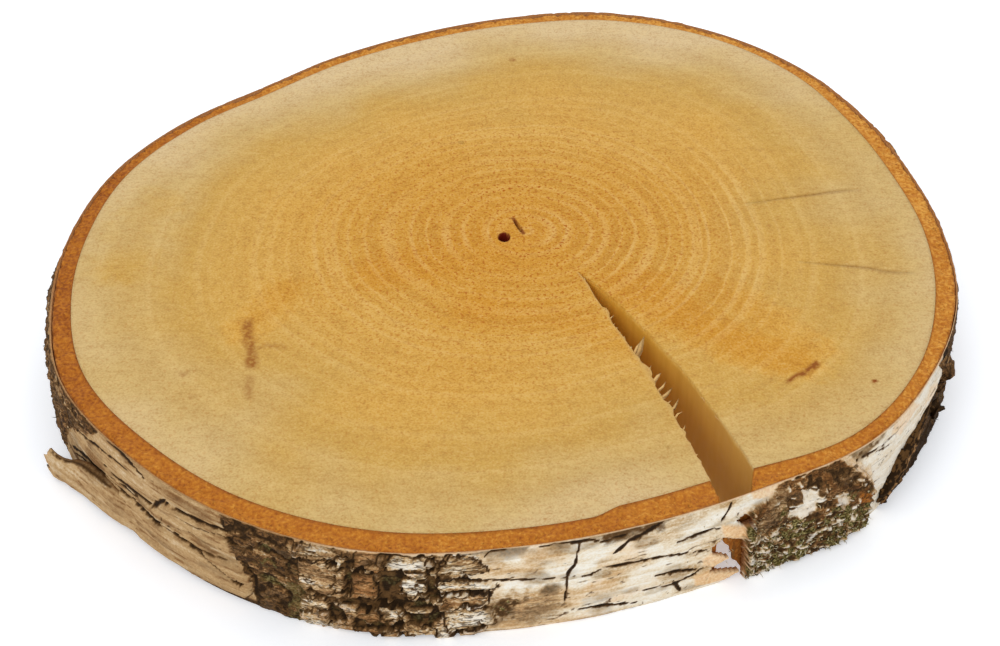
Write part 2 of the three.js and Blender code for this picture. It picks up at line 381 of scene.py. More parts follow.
# Marks on the top face: points in plan, then half the width and the strength
STAINS = [
    ([(-75.8, -45), (-74.8, -52.7), (-73.6, -56.9), (-72.5, -63.8)], 1.7, 0.9),
    ([(-72.9, -68.5), (-72.2, -77.9)], 1.1, 0.5),
    ([(-73.3, -56.8), (-69, -55.4), (-64.6, -55.8)], 1.0, 0.65),
    ([(-91.8, -68), (-90.9, -67.8)], 0.9, 0.55),
    ([(-88.2, -77.6), (-87.6, -77.5)], 0.8, 0.45),
    ([(75.5, -70.9), (80.5, -67.3), (81.6, -66.2), (84.7, -62.9)], 0.8, 1.3),
    ([(98.9, -71.1), (99.4, -70.95)], 0.5, 2.4),
    ([(0.2, 102.5), (0.8, 102.6)], 0.8, 0.9),
]
GOLDEN_PLACES = [
    ([(36, -27), (50, -42), (64, -54), (78, -61)], 8, 0.85),
    ([(60, -30), (74, -44), (84, -58)], 6, 0.45),
    ([(-12, -9), (-26, -16), (-38, -20)], 8, 0.5),
    ([(-66, -28), (-70, -38), (-76, -48)], 5, 0.4),
    ([(-10, -38), (14, -44), (30, -52)], 7, 0.35),
    ([(-116, -18), (-116, 0), (-112, 14)], 8, 0.16),
]
# Rows of dark pores near the pith: radius, first and last bearing, and strength
DOTTED_ARCS = [(12.5, 280, 400, 0.9), (11.5, 200, 290, 0.5), (24, 60, 130, 0.8), (29, 190, 235, 0.5),
               (8, 20, 170, 0.5)]


def near_line(x, y, points):
    """How far each place is from a line through points, and how far along the line it lies, from 0 to 1."""
    points = np.array(points, float)
    lengths = np.hypot(*np.diff(points, axis=0).T)
    passed = np.concatenate([[0], np.cumsum(lengths)])
    nearest = np.full(np.broadcast(x, y).shape, 1e9)
    place = np.zeros(nearest.shape)
    for (x0, y0), (x1, y1), length, before in zip(points[:-1], points[1:], lengths, passed):
        t = np.clip(((x - x0) * (x1 - x0) + (y - y0) * (y1 - y0)) / length ** 2, 0, 1)
        away = np.hypot(x - x0 - t * (x1 - x0), y - y0 - t * (y1 - y0))
        place = np.where(away < nearest, (before + t * length) / passed[-1], place)
        nearest = np.minimum(nearest, away)
    return nearest, place


def hole_distance(x, y):
    """Distance from the middle of the pith hole, with 1 at the hole's edge."""
    return np.hypot((x - PITH_HOLE["x"]) / PITH_HOLE["half_x"], (y - PITH_HOLE["y"]) / PITH_HOLE["half_y"])


def top_marks(x, y, ring):
    """How strong the stains, the gold, the pores and the growth rings of the top face are. A value above 1
    is darker and redder; the highest, in the pith hole and its slit, are partly the pith's own dark red and
    partly painted shade."""
    ragged = 1.6 * (layered(x / 2.4, y / 2.4, 0, 23) - 0.5)
    stain, gold = np.zeros_like(x), np.zeros_like(x)
    for points, half, strength in STAINS:
        away, _ = near_line(x, y, points)
        stain = np.maximum(stain, strength * smooth(away + ragged * min(half, 1), half * 1.5, half * 0.4))
    for points, half, strength in GOLDEN_PLACES:
        away, _ = near_line(x, y, points)
        gold = np.maximum(gold, strength * smooth(away + 5 * ragged, half * 1.8, half * 0.2))
    slit, _ = near_line(x, y, [PITH_SLIT["start"], PITH_SLIT["end"]])
    # The pith hole gets the highest value and its slit a high one: partly the pith's own dark red, partly
    # painted shade in them
    stain = np.maximum(stain, 3 * smooth(hole_distance(x, y), 1.3, 1.0))
    stain = np.maximum(stain, 1.5 * smooth(slit, 1.0, 0.2))
    for check in CHECKS:
        ends = polar(check["bearing"], np.array([check["start"], check["end"]]), 0)[:, :2]
        away, place = near_line(x, y, ends)
        stain = np.maximum(stain, 0.35 * smooth(away, 1.0, 0.4) * np.sin(place * math.pi))

    # Less gold towards the rim at the back and at the front left
    bearing = np.degrees(np.arctan2(y, x)) % 360
    gold = gold - 0.32 * smooth(ring, 76, 124) * within(bearing, 45, 165, 28)
    gold = gold - 0.16 * smooth(ring, 70, 116) * within(bearing, 198, 238, 14)

    plain = 0.25 + 0.65 * smooth(ring, 98, 20)
    pores = plain
    for radius, start, end, strength in DOTTED_ARCS:
        arc = smooth(np.abs(ring - radius), 1.6, 0.5) * within(bearing, start, end, 14)
        pores = np.maximum(pores, 0.7 + strength * arc)
    pores = np.where(ring > 34, plain, pores)

    # The growth rings show best left and right of the pith
    left = within(bearing, 160, 215, 18) * smooth(ring, 68, 46)
    right = within(bearing, 325, 400, 16) * smooth(ring, 100, 68)
    clear = 0.32 + 0.1 * smooth(ring, 75, 40) + 0.5 * np.maximum(left, right)
    return stain, gold, pores, clear * smooth(ring, 126, 104)


def ring_radii():
    """Nominal radii of the rings of points, and how many columns each has. A section's rings come in
    whole groups of COARSE_STEP, so that the underside can skip to each group's first."""
    radii, columns = [0.5], [SECTIONS[0][1]]
    for end, count, spacing in SECTIONS:
        groups = math.ceil((end - radii[-1]) / spacing / COARSE_STEP)
        new = np.linspace(radii[-1], end, groups * COARSE_STEP + 1)[1:]
        radii += list(new)
        columns += [count] * len(new)
    return np.array(radii), columns


def wood_radius(nominal, bearing):
    """True radius on a ring: round near the pith, with the trunk's own outline towards the rim."""
    fit = smooth(nominal, ROUND_TO, OUTLINE_FROM)
    return nominal * (1 + fit * (wood_edge(bearing) / WOOD_RIM - 1))


def wood_ring(nominal, count):
    share = np.linspace(0, 1, count + 1)
    bearing = column_bearing(share, nominal)
    for _ in range(3):
        bearing = column_bearing(share, wood_radius(nominal, bearing))
    return polar(bearing, wood_radius(nominal, bearing), THICKNESS)


def fibre_offset(along):
    """How far the split's ragged left edge stands into the gap, in millimetres."""
    teeth = np.maximum(noise(along / 2.6, 0, 0, 3) - 0.66, 0) * 3.2
    flap = 2.2 * smooth(np.abs(along - 80), 6, 2) * layered(along / 1.3, 0, 0, 6)
    return 0.45 * (layered(along / 5, 0, 0, 5) - 0.5) + teeth + flap


def cut_top(points):
    """Sinks the pith hole, its slit and the saw's faint waves into the top face."""
    x, y, z = points.T
    depth = PITH_HOLE["depth"] * smooth(hole_distance(x, y), 1.15, 0.75)
    start, end = np.array(PITH_SLIT["start"]), np.array(PITH_SLIT["end"])
    length = np.linalg.norm(end - start)
    way = (end - start) / length
    along = (x - start[0]) * way[0] + (y - start[1]) * way[1]
    across = np.abs((x - start[0]) * way[1] - (y - start[1]) * way[0])
    open_half = PITH_SLIT["half"] * np.sin(np.clip(along / length, 0, 1) * math.pi)
    depth = np.maximum(depth, PITH_SLIT["depth"] * np.clip(1 - across / (open_half + 1e-3), 0, 1))
    waves = 0.1 * (layered(x / 14, y / 14, 0, 11) - 0.5)
    return np.stack([x, y, z - depth + np.where(depth > 0, 0, waves)], -1)


def open_checks(points, nominal):
    """Draws three neighbouring columns together along each drying check and sinks the middle one."""
    bearing = np.degrees(np.arctan2(points[:, 1], points[:, 0])) % 360
    radius = np.hypot(points[:, 0], points[:, 1])
    for check in CHECKS:
        if not check["start"] < nominal < check["end"]:
            continue
        progress = (nominal - check["start"]) / (check["end"] - check["start"])
        half = check["half"] * math.sin(progress * math.pi)
        line = check["bearing"] + 0.5 * (float(noise(nominal / 9, 0, 0, 21)) - 0.5)
        middle = int(np.argmin(np.abs(bearing - line)))
        for shift in (-1, 0, 1):
            angle = math.radians(line) + shift * half / radius[middle]
            points[middle + shift, :2] = radius[middle] * np.array([math.cos(angle), math.sin(angle)])
        points[middle, 2] -= CHECK_DEPTH * math.sin(progress * math.pi)
    return points


def split_ring(nominal, columns, z):
    """A ring of points from the split's right edge round to its ragged left edge."""
    ring = wood_ring(nominal, columns)
    toward = ring[0] - ring[-1]
    gap = np.linalg.norm(toward)
    if nominal > TIP_RADIUS + RAGGED_FROM and gap > RAGGED_GAP:
        ring[-1] += toward / gap * fibre_offset(nominal)
    ring[:, 2] = z
    return ring


class WoodPoints:
    """The wood's points, each with its ring, whether it is on the split's walls, and whether it is on the
    pale lip of the left one."""

    def __init__(self):
        self.rows = []
        self.count = 0

    def add(self, points, ring, wall=0.0, lip=0.0):
        """Takes in a row of points, of which the last may be on the lip, and gives back their numbers."""
        size = len(points)
        lips = np.append(np.zeros(size - 1), lip)
        self.rows.append((points, np.full(size, ring), np.full(size, wall), lips))
        self.count += size
        return np.arange(self.count - size, self.count)

    def face(self, z, step):
        """Rows of point numbers on the top or the underside, from the pith out. Rings that the step skips
        are None, and a ring inside the split's tip ends in its own first point."""
        rows = []
        for k, (nominal, columns) in enumerate(zip(*ring_radii())):
            if k % step:
                rows.append(None)
                continue
            whole = nominal <= TIP_RADIUS
            ring = split_ring(nominal, columns, z)[:-1 if whole else None]
            if z:
                ring = cut_top(ring)
            if z and not whole:
                ring = open_checks(ring, nominal)
            numbers = self.add(ring, nominal, lip=float(z > 0 and not whole))
            rows.append(np.append(numbers, numbers[0]) if whole else numbers)
        return rows

    def walls(self, top_rows, low_rows):
        """Tables of point numbers down the split's right and left walls, one row under each ring of the
        top face, and which ring they start from: the last one inside the tip, where the walls meet."""
        radii, columns = ring_radii()
        heights = np.linspace(THICKNESS, 0, WALL_LEVELS + 1)[1:-1]
        tip = int(np.flatnonzero(radii <= TIP_RADIUS)[-1])
        right_wall, left_wall = [], []
        for k in range(tip, len(radii)):
            ring = split_ring(radii[k], columns[k], 0)
            across = ring[0] - ring[-1]
            for end, way, wall in ((0, -1, right_wall), (-1, 1, left_wall)):
                if k == tip and wall is left_wall:
                    wall.append(right_wall[0])
                    continue
                column = np.repeat(ring[[end]], WALL_LEVELS - 1, 0)
                column[:, 2] = heights
                if k > tip + 1:
                    bulge = 0.6 * (layered(radii[k] / 9, heights / 25, end, 7, 2) - 0.5)
                    column += across / np.linalg.norm(across) * way * bulge[:, None]
                middle = self.add(column, radii[k], 1.0)
                foot = self.add(ring[[end]], radii[k], 1.0) if low_rows[k] is None else low_rows[k][[end]]
                wall.append(np.concatenate([top_rows[k][[end]], middle, foot]))
        return np.array(right_wall), np.array(left_wall), tip


def span_rings(inner, outer, right_extra=(), left_extra=()):
    """Upward faces between two rings, the outer with as many columns or twice as many. The extra points
    lie on the split's two edges between the rings."""
    a, b = inner[:-1], inner[1:]
    if len(inner) == len(outer):
        c, d = outer[:-1], outer[1:]
        first = [a[0], *right_extra, c[0], d[0], b[0]]
        rest = [np.stack([a, c, d, b], -1)[1:-1]]
        last = [a[-1], c[-1], d[-1], *left_extra[::-1], b[-1]]
    else:
        c, d, e = outer[:-1:2], outer[1::2], outer[2::2]
        first = [a[0], *right_extra, c[0], d[0]]
        rest = [np.stack([a, c, d], -1)[1:], np.stack([a, d, e, b], -1)[:-1]]
        last = [a[-1], d[-1], e[-1], *left_extra[::-1], b[-1]]
    return [np.atleast_2d(rows) for rows in (first, last, *rest)]


def build_wood(material):
    wood = WoodPoints()
    top, low = wood.face(THICKNESS, 1), wood.face(0.0, COARSE_STEP)
    right_wall, left_wall, tip = wood.walls(top, low)
    faces = []
    for inner, outer in zip(top[:-1], top[1:]):
        faces += span_rings(inner, outer)
    faces += [grid_faces(right_wall)[:, ::-1], grid_faces(left_wall)]

    # The underside, with the feet of the skipped rings on the split's edges
    for k in range(0, len(low) - 1, COARSE_STEP):
        skipped = slice(max(k + 1 - tip, 0), max(k + COARSE_STEP - tip, 0))
        faces += flipped(span_rings(low[k], low[k + COARSE_STEP],
                                    right_wall[skipped, -1], left_wall[skipped, -1]))

    # The closed middles and the wall under the rim
    faces += [top[0][None, :-1], low[0][None, -2::-1]]
    rim = np.stack([low[-1][:-1], low[-1][1:], top[-1][1:], top[-1][:-1]], -1)
    faces += [rim[1:-1], np.append(rim[0], right_wall[-1, 1:-1]),
              np.concatenate([rim[-1, :2], left_wall[-1, -2:0:-1], rim[-1, 2:]])]

    points, ring, wall, lip = (np.concatenate(rows) for rows in zip(*wood.rows))
    x, y, _ = points.T
    off_centre = smooth(ring, 70, 14)
    shifted = np.hypot(x - RING_MIDDLE[0] * off_centre, y - RING_MIDDLE[1] * off_centre)
    ring = ring + shifted - np.hypot(x, y)
    stain, gold, pores, clear = top_marks(x, y, ring)
    mesh = make_mesh("wood_visual", points, faces)
    add_values(mesh, ring=ring, wall=wall, lip=lip, stain=stain, gold=gold, pores=pores, clear=clear)
    add_piece("sawn_wood", mesh, material, "wood")


def wood_look():
    look = Look("birch_wood")
    ring, wall, lip = look.values("ring", "wall", "lip")
    stain, gold, pores, clear = look.values("stain", "gold", "pores", "clear")
    fine = look.grain(0.6)
    coarse = look.grain(2.8, detail=3)
    hatch = look.grain(1.0, stretch=(7, 1.2, 1), detail=1)

    # Growth rings: a pale line in each, and paler and darker bands of several
    radius = ring + (look.grain(18) - 0.5) * 2.6
    broad = look.node("ShaderNodeTexNoise", {"W": radius / 8.0, "Scale": 1.0, "Detail": 2.0},
                      noise_dimensions="1D")
    part = look.math("FRACT", radius / RING_SPACING + broad * 2.0)
    line = look.span(part, 0.1, 0.5) * look.span(part, 0.9, 0.5)
    line = (line - 0.4) * (clear * look.span(look.grain(38), 0.4, 0.62, 0.55, 1.0))
    bands = line * 0.5 + (broad - 0.5) * 0.34

    # Golden in the middle and in the golden places, paler towards the rim
    warmth = ring / WOOD_RIM + (look.grain(42) - 0.5) * 0.55 - gold * 0.75
    colour = look.ramp(warmth * 0.8, (0.0, 207, 146, 44), (0.24, 209, 154, 58), (0.44, 212, 163, 74),
                       (0.64, 202, 160, 79), (0.78, 203, 171, 109), (0.96, 215, 189, 144))
    scratches = (hatch - 0.5) * look.span(ring, 70.0, 115.0, 0.0, 0.5)
    light = (fine - 0.5) * 1.5 + (coarse - 0.5) * 0.8 + scratches
    shadow = look.mix(look.span(warmth, 0.4, 0.9), tint(148, 84, 10), tint(170, 124, 62))
    for amount, paler, darker in ((bands, 0.9, 0.9), (light, 0.6, 1.1)):
        colour = look.mix(amount * paler, colour, tint(238, 208, 144))
        colour = look.mix(amount * -darker, colour, shadow)

    # Pores, stains, the splintered lip, and painted shade in the pith hole
    dots = look.span(look.grain(1.0, detail=1), 0.58, 0.65) * pores
    colour = look.mix(dots * 0.8, colour, tint(172, 92, 0))
    mark = stain * look.span(look.grain(1.3), 0.3, 0.6, 0.45, 1.0)
    colour = look.mix(mark * 0.95, colour, tint(146, 84, 26))
    colour = look.mix(look.span(stain, 1.1, 2.6), colour, tint(110, 32, 8))
    colour = look.mix(lip * 0.45, colour, tint(232, 190, 122))

    # The fibres of the split's walls
    fibre = look.grain(2.2, stretch=(1, 1, 9), detail=4)
    side = look.ramp(fibre, (0.3, 217, 163, 56), (0.5, 222, 169, 62), (0.72, 228, 177, 70))
    side = look.mix(look.span(ring, 50.0, 125.0, 0.0, 0.7), side, tint(204, 158, 84))
    colour = look.mix(wall, colour, side)
    # Near black-red where the value is highest: a dark dot, and the pith hole, where it is partly the pith's
    # own colour and partly painted shade
    colour = look.mix(look.span(stain, 1.6, 2.8), colour, tint(104, 22, 2))
    height = fine * 0.6 * (1.0 - wall) + fibre * 0.2 * wall
    roughness = look.span(coarse, 0.3, 0.7, 0.62, 0.78)
    return look.finish(colour, roughness, look.bump(height, 0.2), specular=0.14)


# The inner bark

INNER_COLUMNS = 900
INNER_STEPS = 8
WOOD_GAP = 0.03
WALL_HEIGHTS = (0, 10, 20)


def build_inner_bark(material):
    """A ring of soft orange bark, open at the split, with a grainy top."""
    share = np.linspace(0, 1, INNER_COLUMNS + 1)[:, None]
    depth_share = np.linspace(0, 1, INNER_STEPS + 1)[None, :]

    def across(inner_bearing, outer_bearing):
        inside, outside = wood_edge(inner_bearing) + WOOD_GAP, bark_edge(outer_bearing)
        return inside + (outside - inside) * depth_share

    bearing = column_bearing(share, across(SEAM + 360 * share, SEAM + 360 * share))
    radius = across(bearing[:, :1], bearing[:, -1:])
    x, y, _ = np.moveaxis(polar(bearing, radius, 0), -1, 0)
    grains = layered(x / 1.7, y / 1.7, 0, 31)
    low = 0.06 + (0.75 * smooth(grains, 0.62, 0.3) + 0.15) * smooth(depth_share, 0, 0.2)
    low = low + 0.25 * smooth(depth_share, 0.9, 1)
    outer_wall = [polar(bearing[:, -1:], radius[:, -1:], z) for z in WALL_HEIGHTS[::-1]]
    inner_wall = [polar(bearing[:, :1], radius[:, :1], z) for z in WALL_HEIGHTS]
    table = np.concatenate([polar(bearing, radius, THICKNESS - low)] + outer_wall + inner_wall, 1)
    mesh = make_mesh("inner_bark_visual", table.reshape(-1, 3), flipped(loft_faces(*table.shape[:2])))
    edge = np.zeros(table.shape[:2])
    edge[:, :INNER_STEPS + 1] = depth_share
    # Painted light and shade by side: the inner bark's top is paler at the back and the right and darker at
    # the left, as the light falls
    paler = within(bearing[:, :1], 320, 500, 32) - 0.8 * within(bearing[:, :1], 150, 222, 22)
    add_values(mesh, edge=edge, paler=np.broadcast_to(paler, edge.shape))
    add_piece("orange_inner_bark", mesh, material, "inner_bark")


def inner_bark_look():
    look = Look("inner_bark_cork")
    edge, paler = look.values("edge", "paler")
    grains = look.grain(1.0, detail=3)
    # paler adds the painted light and shade by side
    shade = grains * 0.75 + look.grain(12) * 0.25 + paler * 0.12
    colour = look.ramp(shade, (0.26, 142, 72, 10), (0.42, 176, 102, 22), (0.58, 196, 124, 36),
                       (0.76, 226, 164, 72))
    pits = look.span(look.grain(0.8, detail=1), 0.6, 0.7) * look.span(edge, 0.25, 0.7)
    colour = look.mix(pits * 0.5, colour, tint(116, 58, 12))
    # A painted shadow line along the inner edge, where the inner bark meets the wood
    colour = look.mix(look.span(edge, 0.16, 0.0, 0.0, 0.55), colour, tint(150, 80, 16))
    colour = look.mix(look.span(edge, 0.9, 1.0, 0.0, 0.35), colour, tint(212, 160, 100))
    return look.finish(colour, look.span(grains, 0.3, 0.7, 0.8, 0.9), look.bump(grains, 0.5))


# The outer bark, painted on a table of points: bearings from BARK_START once round, and heights

BARK_START = 100
# Millimetres along the bark to a degree, where it is unrolled
MM_PER_DEGREE = 2.4
# The bark's usual thickness
SKIN = 1.1
BARK_LEVELS = 54
RIM_BEVEL = 0.25
MOUTH = (291.5, 299.5)
# Columns of points: from one bearing to another, and how many degrees apart
BARK_COLUMNS = [(BARK_START, 186, 0.45), (186, MOUTH[0], 0.2), (*MOUTH, 0.16), (MOUTH[1], 345, 0.2),
                (345, BARK_START + 360, 0.45)]
# How brown, cracked or darkened with painted shade, dirty, mossy, freshly bared, corky and rough the bark is
# at each point, from 0 to 1
LOOKS = ("tone", "crack", "grime", "moss", "fresh", "cork", "rough")
# The same for its back, 0 where it isn't given
BACK_LOOKS = {"tone": 0.35, "fresh": 0.5, "cork": 0.8, "rough": 0.2}
# Where kinds of bark lie: first and last bearing, and how softly they end
PLATED = [(246.5, 266.5, 0.6), (118, 152, 0.6), (60, 86, 0.6), (8, 34, 0.6)]
OPEN_PLATES = (253, 261.5, 1)
BROWN_PLATES = (246, 262.5, 1)
BROWNEST_PLATES = (252.5, 258, 1)
DULL_PAPER = (262, 281, 4)
UNSTAINED_PAPER = (284, 340, 4)
CLEAN_PAPER = (314.5, 334, 2)
STRIPS = (203, 243, 0.4)
CRUMBLING_LEFT = (152, 204, 1.5)
CRUMBLING_RIGHT = (341, 374, 1.5)
THICK_AT_LEFT = (186, 206, 2)
THIN_AT_RIGHT = (340, 376, 3)
DARK_AT_RIGHT = (320, 374, 3)
CORKY_AT_RIGHT = (346, 420, 10)
MOSSY_CORNER = (242, 249, 1.5)
GRIMY_RIM = (244, 292, 3)
CRACKED_RIM = (278, 288, 2)
BROKEN_RIM = (100, 186, 12)
PINK_RIM = (250, 352, 5)
ORANGE_RIM = (352, 552, 8)
WANDERING_BORDERS = (0, 188, 10)


def plates(s, z, long, tall, seed):
    """Cracked plates on an unrolled surface: how far inside its plate each point is, and two random
    numbers for each plate."""
    p = s / long + 0.7 * (layered(s / 5, z / 3, 0, seed) - 0.5)
    q = z / tall + 1.0 * (layered(s / 7, z / 5, 5, seed) - 0.5)
    i, j = np.floor(p), np.floor(q)
    nearest = np.full(p.shape, 9.0)
    second, first_number, second_number = nearest.copy(), np.zeros(p.shape), np.zeros(p.shape)
    for di in (-1, 0, 1):
        for dj in (-1, 0, 1):
            ci, cj = i + di, j + dj
            x = ci + 0.5 + 0.8 * (hashed(ci, cj, 0, seed) - 0.5)
            y = cj + 0.5 + 0.5 * (hashed(ci, cj, 1, seed) - 0.5)
            away = (np.abs(p - x) ** 5 + np.abs(q - y) ** 5) ** 0.2
            closer = away < nearest
            second = np.where(closer, nearest, np.minimum(second, away))
            first_number = np.where(closer, hashed(ci, cj, 2, seed), first_number)
            second_number = np.where(closer, hashed(ci, cj, 3, seed), second_number)
            nearest = np.where(closer, away, nearest)
    return second - nearest, first_number, second_number


def unrolled(points):
    """Points given as bearing and height, in millimetres along the bark and up."""
    return np.array(points, float) * [MM_PER_DEGREE, 1]


def stroke(bearing, z, points, half_width):
    """A ragged line drawn on the bark through points given as bearing and height: 1 on it, 0 away from it,
    thinning towards its ends."""
    s = bearing * MM_PER_DEGREE
    away, place = near_line(s, z, unrolled(points))
    away = away + min(0.5, 0.8 * half_width) * (noise(s / 1.4, z / 1.4, 3, 41) - 0.5)
    half = half_width * (0.3 + 0.7 * np.sin(place * math.pi)) * (0.5 + noise(s / 3, z / 3, 7, 42))
    return smooth(away, half * 1.6, half * 0.4)


def depth_inside(bearing, z, corners, ragged):
    """How far inside a ragged patch each point is. Corners are given as bearing and height."""
    s = bearing * MM_PER_DEGREE
    line = unrolled(corners)
    away, _ = near_line(s, z, np.vstack([line, line[:1]]))
    depth = np.where(inside_polygon(s + 0 * z, z + 0 * s, line), away, -away)
    return depth + ragged * (layered(s / 1.8, z / 1.5, 1, 43) - 0.5)


def patch(bearing, z, corners, soft, ragged):
    """1 inside a ragged patch and 0 outside."""
    return smooth(depth_inside(bearing, z, corners, ragged), -soft, soft)


def spot(bearing, z, centre, half_wide, half_tall, ragged=0.5, seed=51):
    """A ragged patch round a point given as bearing and height, 1 inside and 0 outside."""
    s = (bearing - centre[0]) * MM_PER_DEGREE / half_wide
    t = (z - centre[1]) / half_tall
    away = np.hypot(s, t) + ragged * (layered(bearing * MM_PER_DEGREE / 2.5, z / 2.5, 1, seed) - 0.5) * 2
    return smooth(away, 1.3, 0.6)


def inside_polygon(px, py, corners):
    corners = np.array(corners, float)
    hit = np.zeros(px.shape, bool)
    for (x0, y0), (x1, y1) in zip(corners, np.roll(corners, -1, 0)):
        if y0 == y1:
            continue
        crosses = (y0 > py) != (y1 > py)
        hit ^= crosses & (px < (x1 - x0) * (py - y0) / (y1 - y0) + x0)
    return hit


# Long cracks in the white bark left of the mouth: points as bearing and height, then half the width
FRONT_CRACKS = [
    ([(277.1, 28.4), (276.8, 24.9), (276.6, 20.8), (275.8, 18.1), (275.7, 14), (275.4, 7.2)], 0.43),
    ([(272.5, 28.6), (275.0, 28.7), (276.4, 28.2), (278.2, 28.1), (279.5, 26.8), (282.5, 27.6)], 0.46),
    ([(280.4, 21.2), (281.6, 22.9), (282.6, 25.2), (283.9, 26.2), (286.5, 28.6)], 0.62),
    ([(275.9, 16.5), (278.4, 16.1), (279.7, 17.5), (283.4, 17.3), (287, 16.6), (290.4, 15.2),
      (292.4, 14.3)], 0.46),
    ([(264.2, 20.4), (270.7, 18), (273.5, 17.2), (276, 16.6)], 0.42),
    ([(285.7, 10.3), (288.5, 10), (290.6, 8.8), (292.1, 7.8)], 0.46),
    ([(283.9, 6.3), (288.3, 5.3), (290.6, 6.6), (292.6, 8.8)], 0.42),
    ([(276.5, 3.9), (278.5, 4.3), (281.1, 3.4), (284.8, 1.6)], 0.42),
    ([(288.2, 6.8), (288.9, 4), (289.4, 1.4)], 0.52),
    ([(295.2, 28.2), (294.6, 25.6), (293.8, 23.1)], 0.52),
    ([(288.5, 20.4), (290.6, 20.9), (292.9, 21.4), (294.2, 20.6)], 0.42),
    ([(266.9, 27.4), (267.5, 28.8), (269.8, 28.7)], 0.29),
    ([(262.1, 16.1), (263.5, 16.9), (266.8, 16.6)], 0.29),
    ([(267.2, 18.0), (267.3, 13.2), (267.3, 10.6)], 0.22),
    ([(260.9, 26.7), (261.2, 28.7), (262, 29.6), (263.4, 28.9), (262.8, 25.9), (261.5, 24.6),
      (260.9, 25.6)], 0.22),
]
# The same right of the mossy plate
SIDE_CRACKS = [
    ([(314.8, 25.1), (316.7, 24.1), (319.1, 23.1)], 0.3), ([(311.6, 26.2), (314.4, 25.9), (317, 25.3)], 0.3),
    ([(315.0, 13.1), (316.6, 12.8)], 0.3), ([(315.9, 16.5), (317.1, 19.4), (318.9, 20.7)], 0.24),
]
# The same in the beige strips at the left and in the dark bark beside them
STRIP_CRACKS = [
    ([(217.9, 14.6), (221.4, 16.2), (225.1, 16.8), (228, 15.8), (230.6, 14.2)], 0.3),
    ([(230.6, 14.2), (233.4, 12.9), (235.8, 12.1), (238.2, 9.6), (240.3, 6.8)], 0.26),
    ([(231.0, 21.2), (234.7, 20.7), (237.4, 21.6), (239.2, 22.8), (240.6, 20.4), (241.7, 17.7)], 0.28),
    ([(212, 7.8), (214.4, 10.4), (217, 11.9), (220.5, 12.4)], 0.4),
    ([(210.6, 8.0), (213.5, 11.4), (216.2, 13.6), (220.3, 14.8), (224, 14.4)], 0.75),
    ([(220.0, 18.3), (222.6, 17.7), (225.2, 17.9), (227.6, 18.4), (229.0, 18.1)], 0.4),
    ([(225.2, 15.2), (227.3, 13.9), (229.0, 12.6), (230.6, 14)], 0.45),
    ([(228.8, 17.5), (229.8, 20.4), (231.1, 23.5)], 0.75),
    ([(231.1, 23.5), (231.7, 22.8), (233.1, 23), (236.3, 23.4), (239.2, 24.2), (241.6, 23.2)], 0.35),
    ([(230.5, 17.5), (230.6, 14.5), (231.9, 15.4), (234.5, 17.2), (236.4, 17.0), (239.0, 17.4)], 0.45),
    ([(220.6, 28.2), (223.8, 28.8), (225.7, 27.6), (228, 26.4)], 0.6),
    ([(209.5, 17.4), (213.5, 20.4), (216.5, 22.2), (220, 23.6), (225, 24.4)], 0.4),
    ([(239.8, 7.2), (240.4, 7.0), (241.2, 7.4)], 0.45),
    ([(240.2, 8.2), (240.8, 6.2)], 0.35),
    ([(241.4, 14), (242.6, 12), (242.6, 8), (242.2, 3)], 0.6),
    ([(243.6, 24.6), (246.6, 21.5), (248.4, 18)], 0.6),
    ([(243.4, 14), (245.8, 11.2), (247, 8.4)], 0.6),
]

# Dark hollows among the plates at the front, as corners of bearing and height
HOLLOWS = [
    [(256.3, 24.3), (258.3, 24.1), (259.7, 22.4), (258.6, 21.6), (258.2, 16), (259.6, 15), (259.6, 11.9),
     (256.2, 14), (256.1, 19.7)],
    [(261.0, 23.6), (261.9, 22.9), (262.1, 14.9), (261.4, 13.4), (260.9, 19.1)],
    [(252.9, 27.4), (253.6, 26.3), (253.7, 19.7), (252.9, 14), (252.5, 23.3)],
    [(252.9, 12.9), (256.2, 13.7), (256.1, 11.2), (252.9, 10.4)],
    [(258.2, 14.4), (261.9, 12.8), (262.5, 8.6), (261.3, 4.5), (259.6, 5.7), (258.4, 10.8)],
    [(246.9, 24), (247.9, 23), (247.8, 12), (247.2, 3), (246.2, 3), (246.2, 18)],
    [(247.8, 12.6), (251, 12.4), (252.6, 14), (252.7, 11.4), (247.7, 11.2)],
    [(250.8, 10), (252.4, 9.6), (252.8, 4.5), (251, 4.2)],
    [(253.4, 5.4), (257, 5.8), (257.4, 3.4), (253.4, 3)],
]

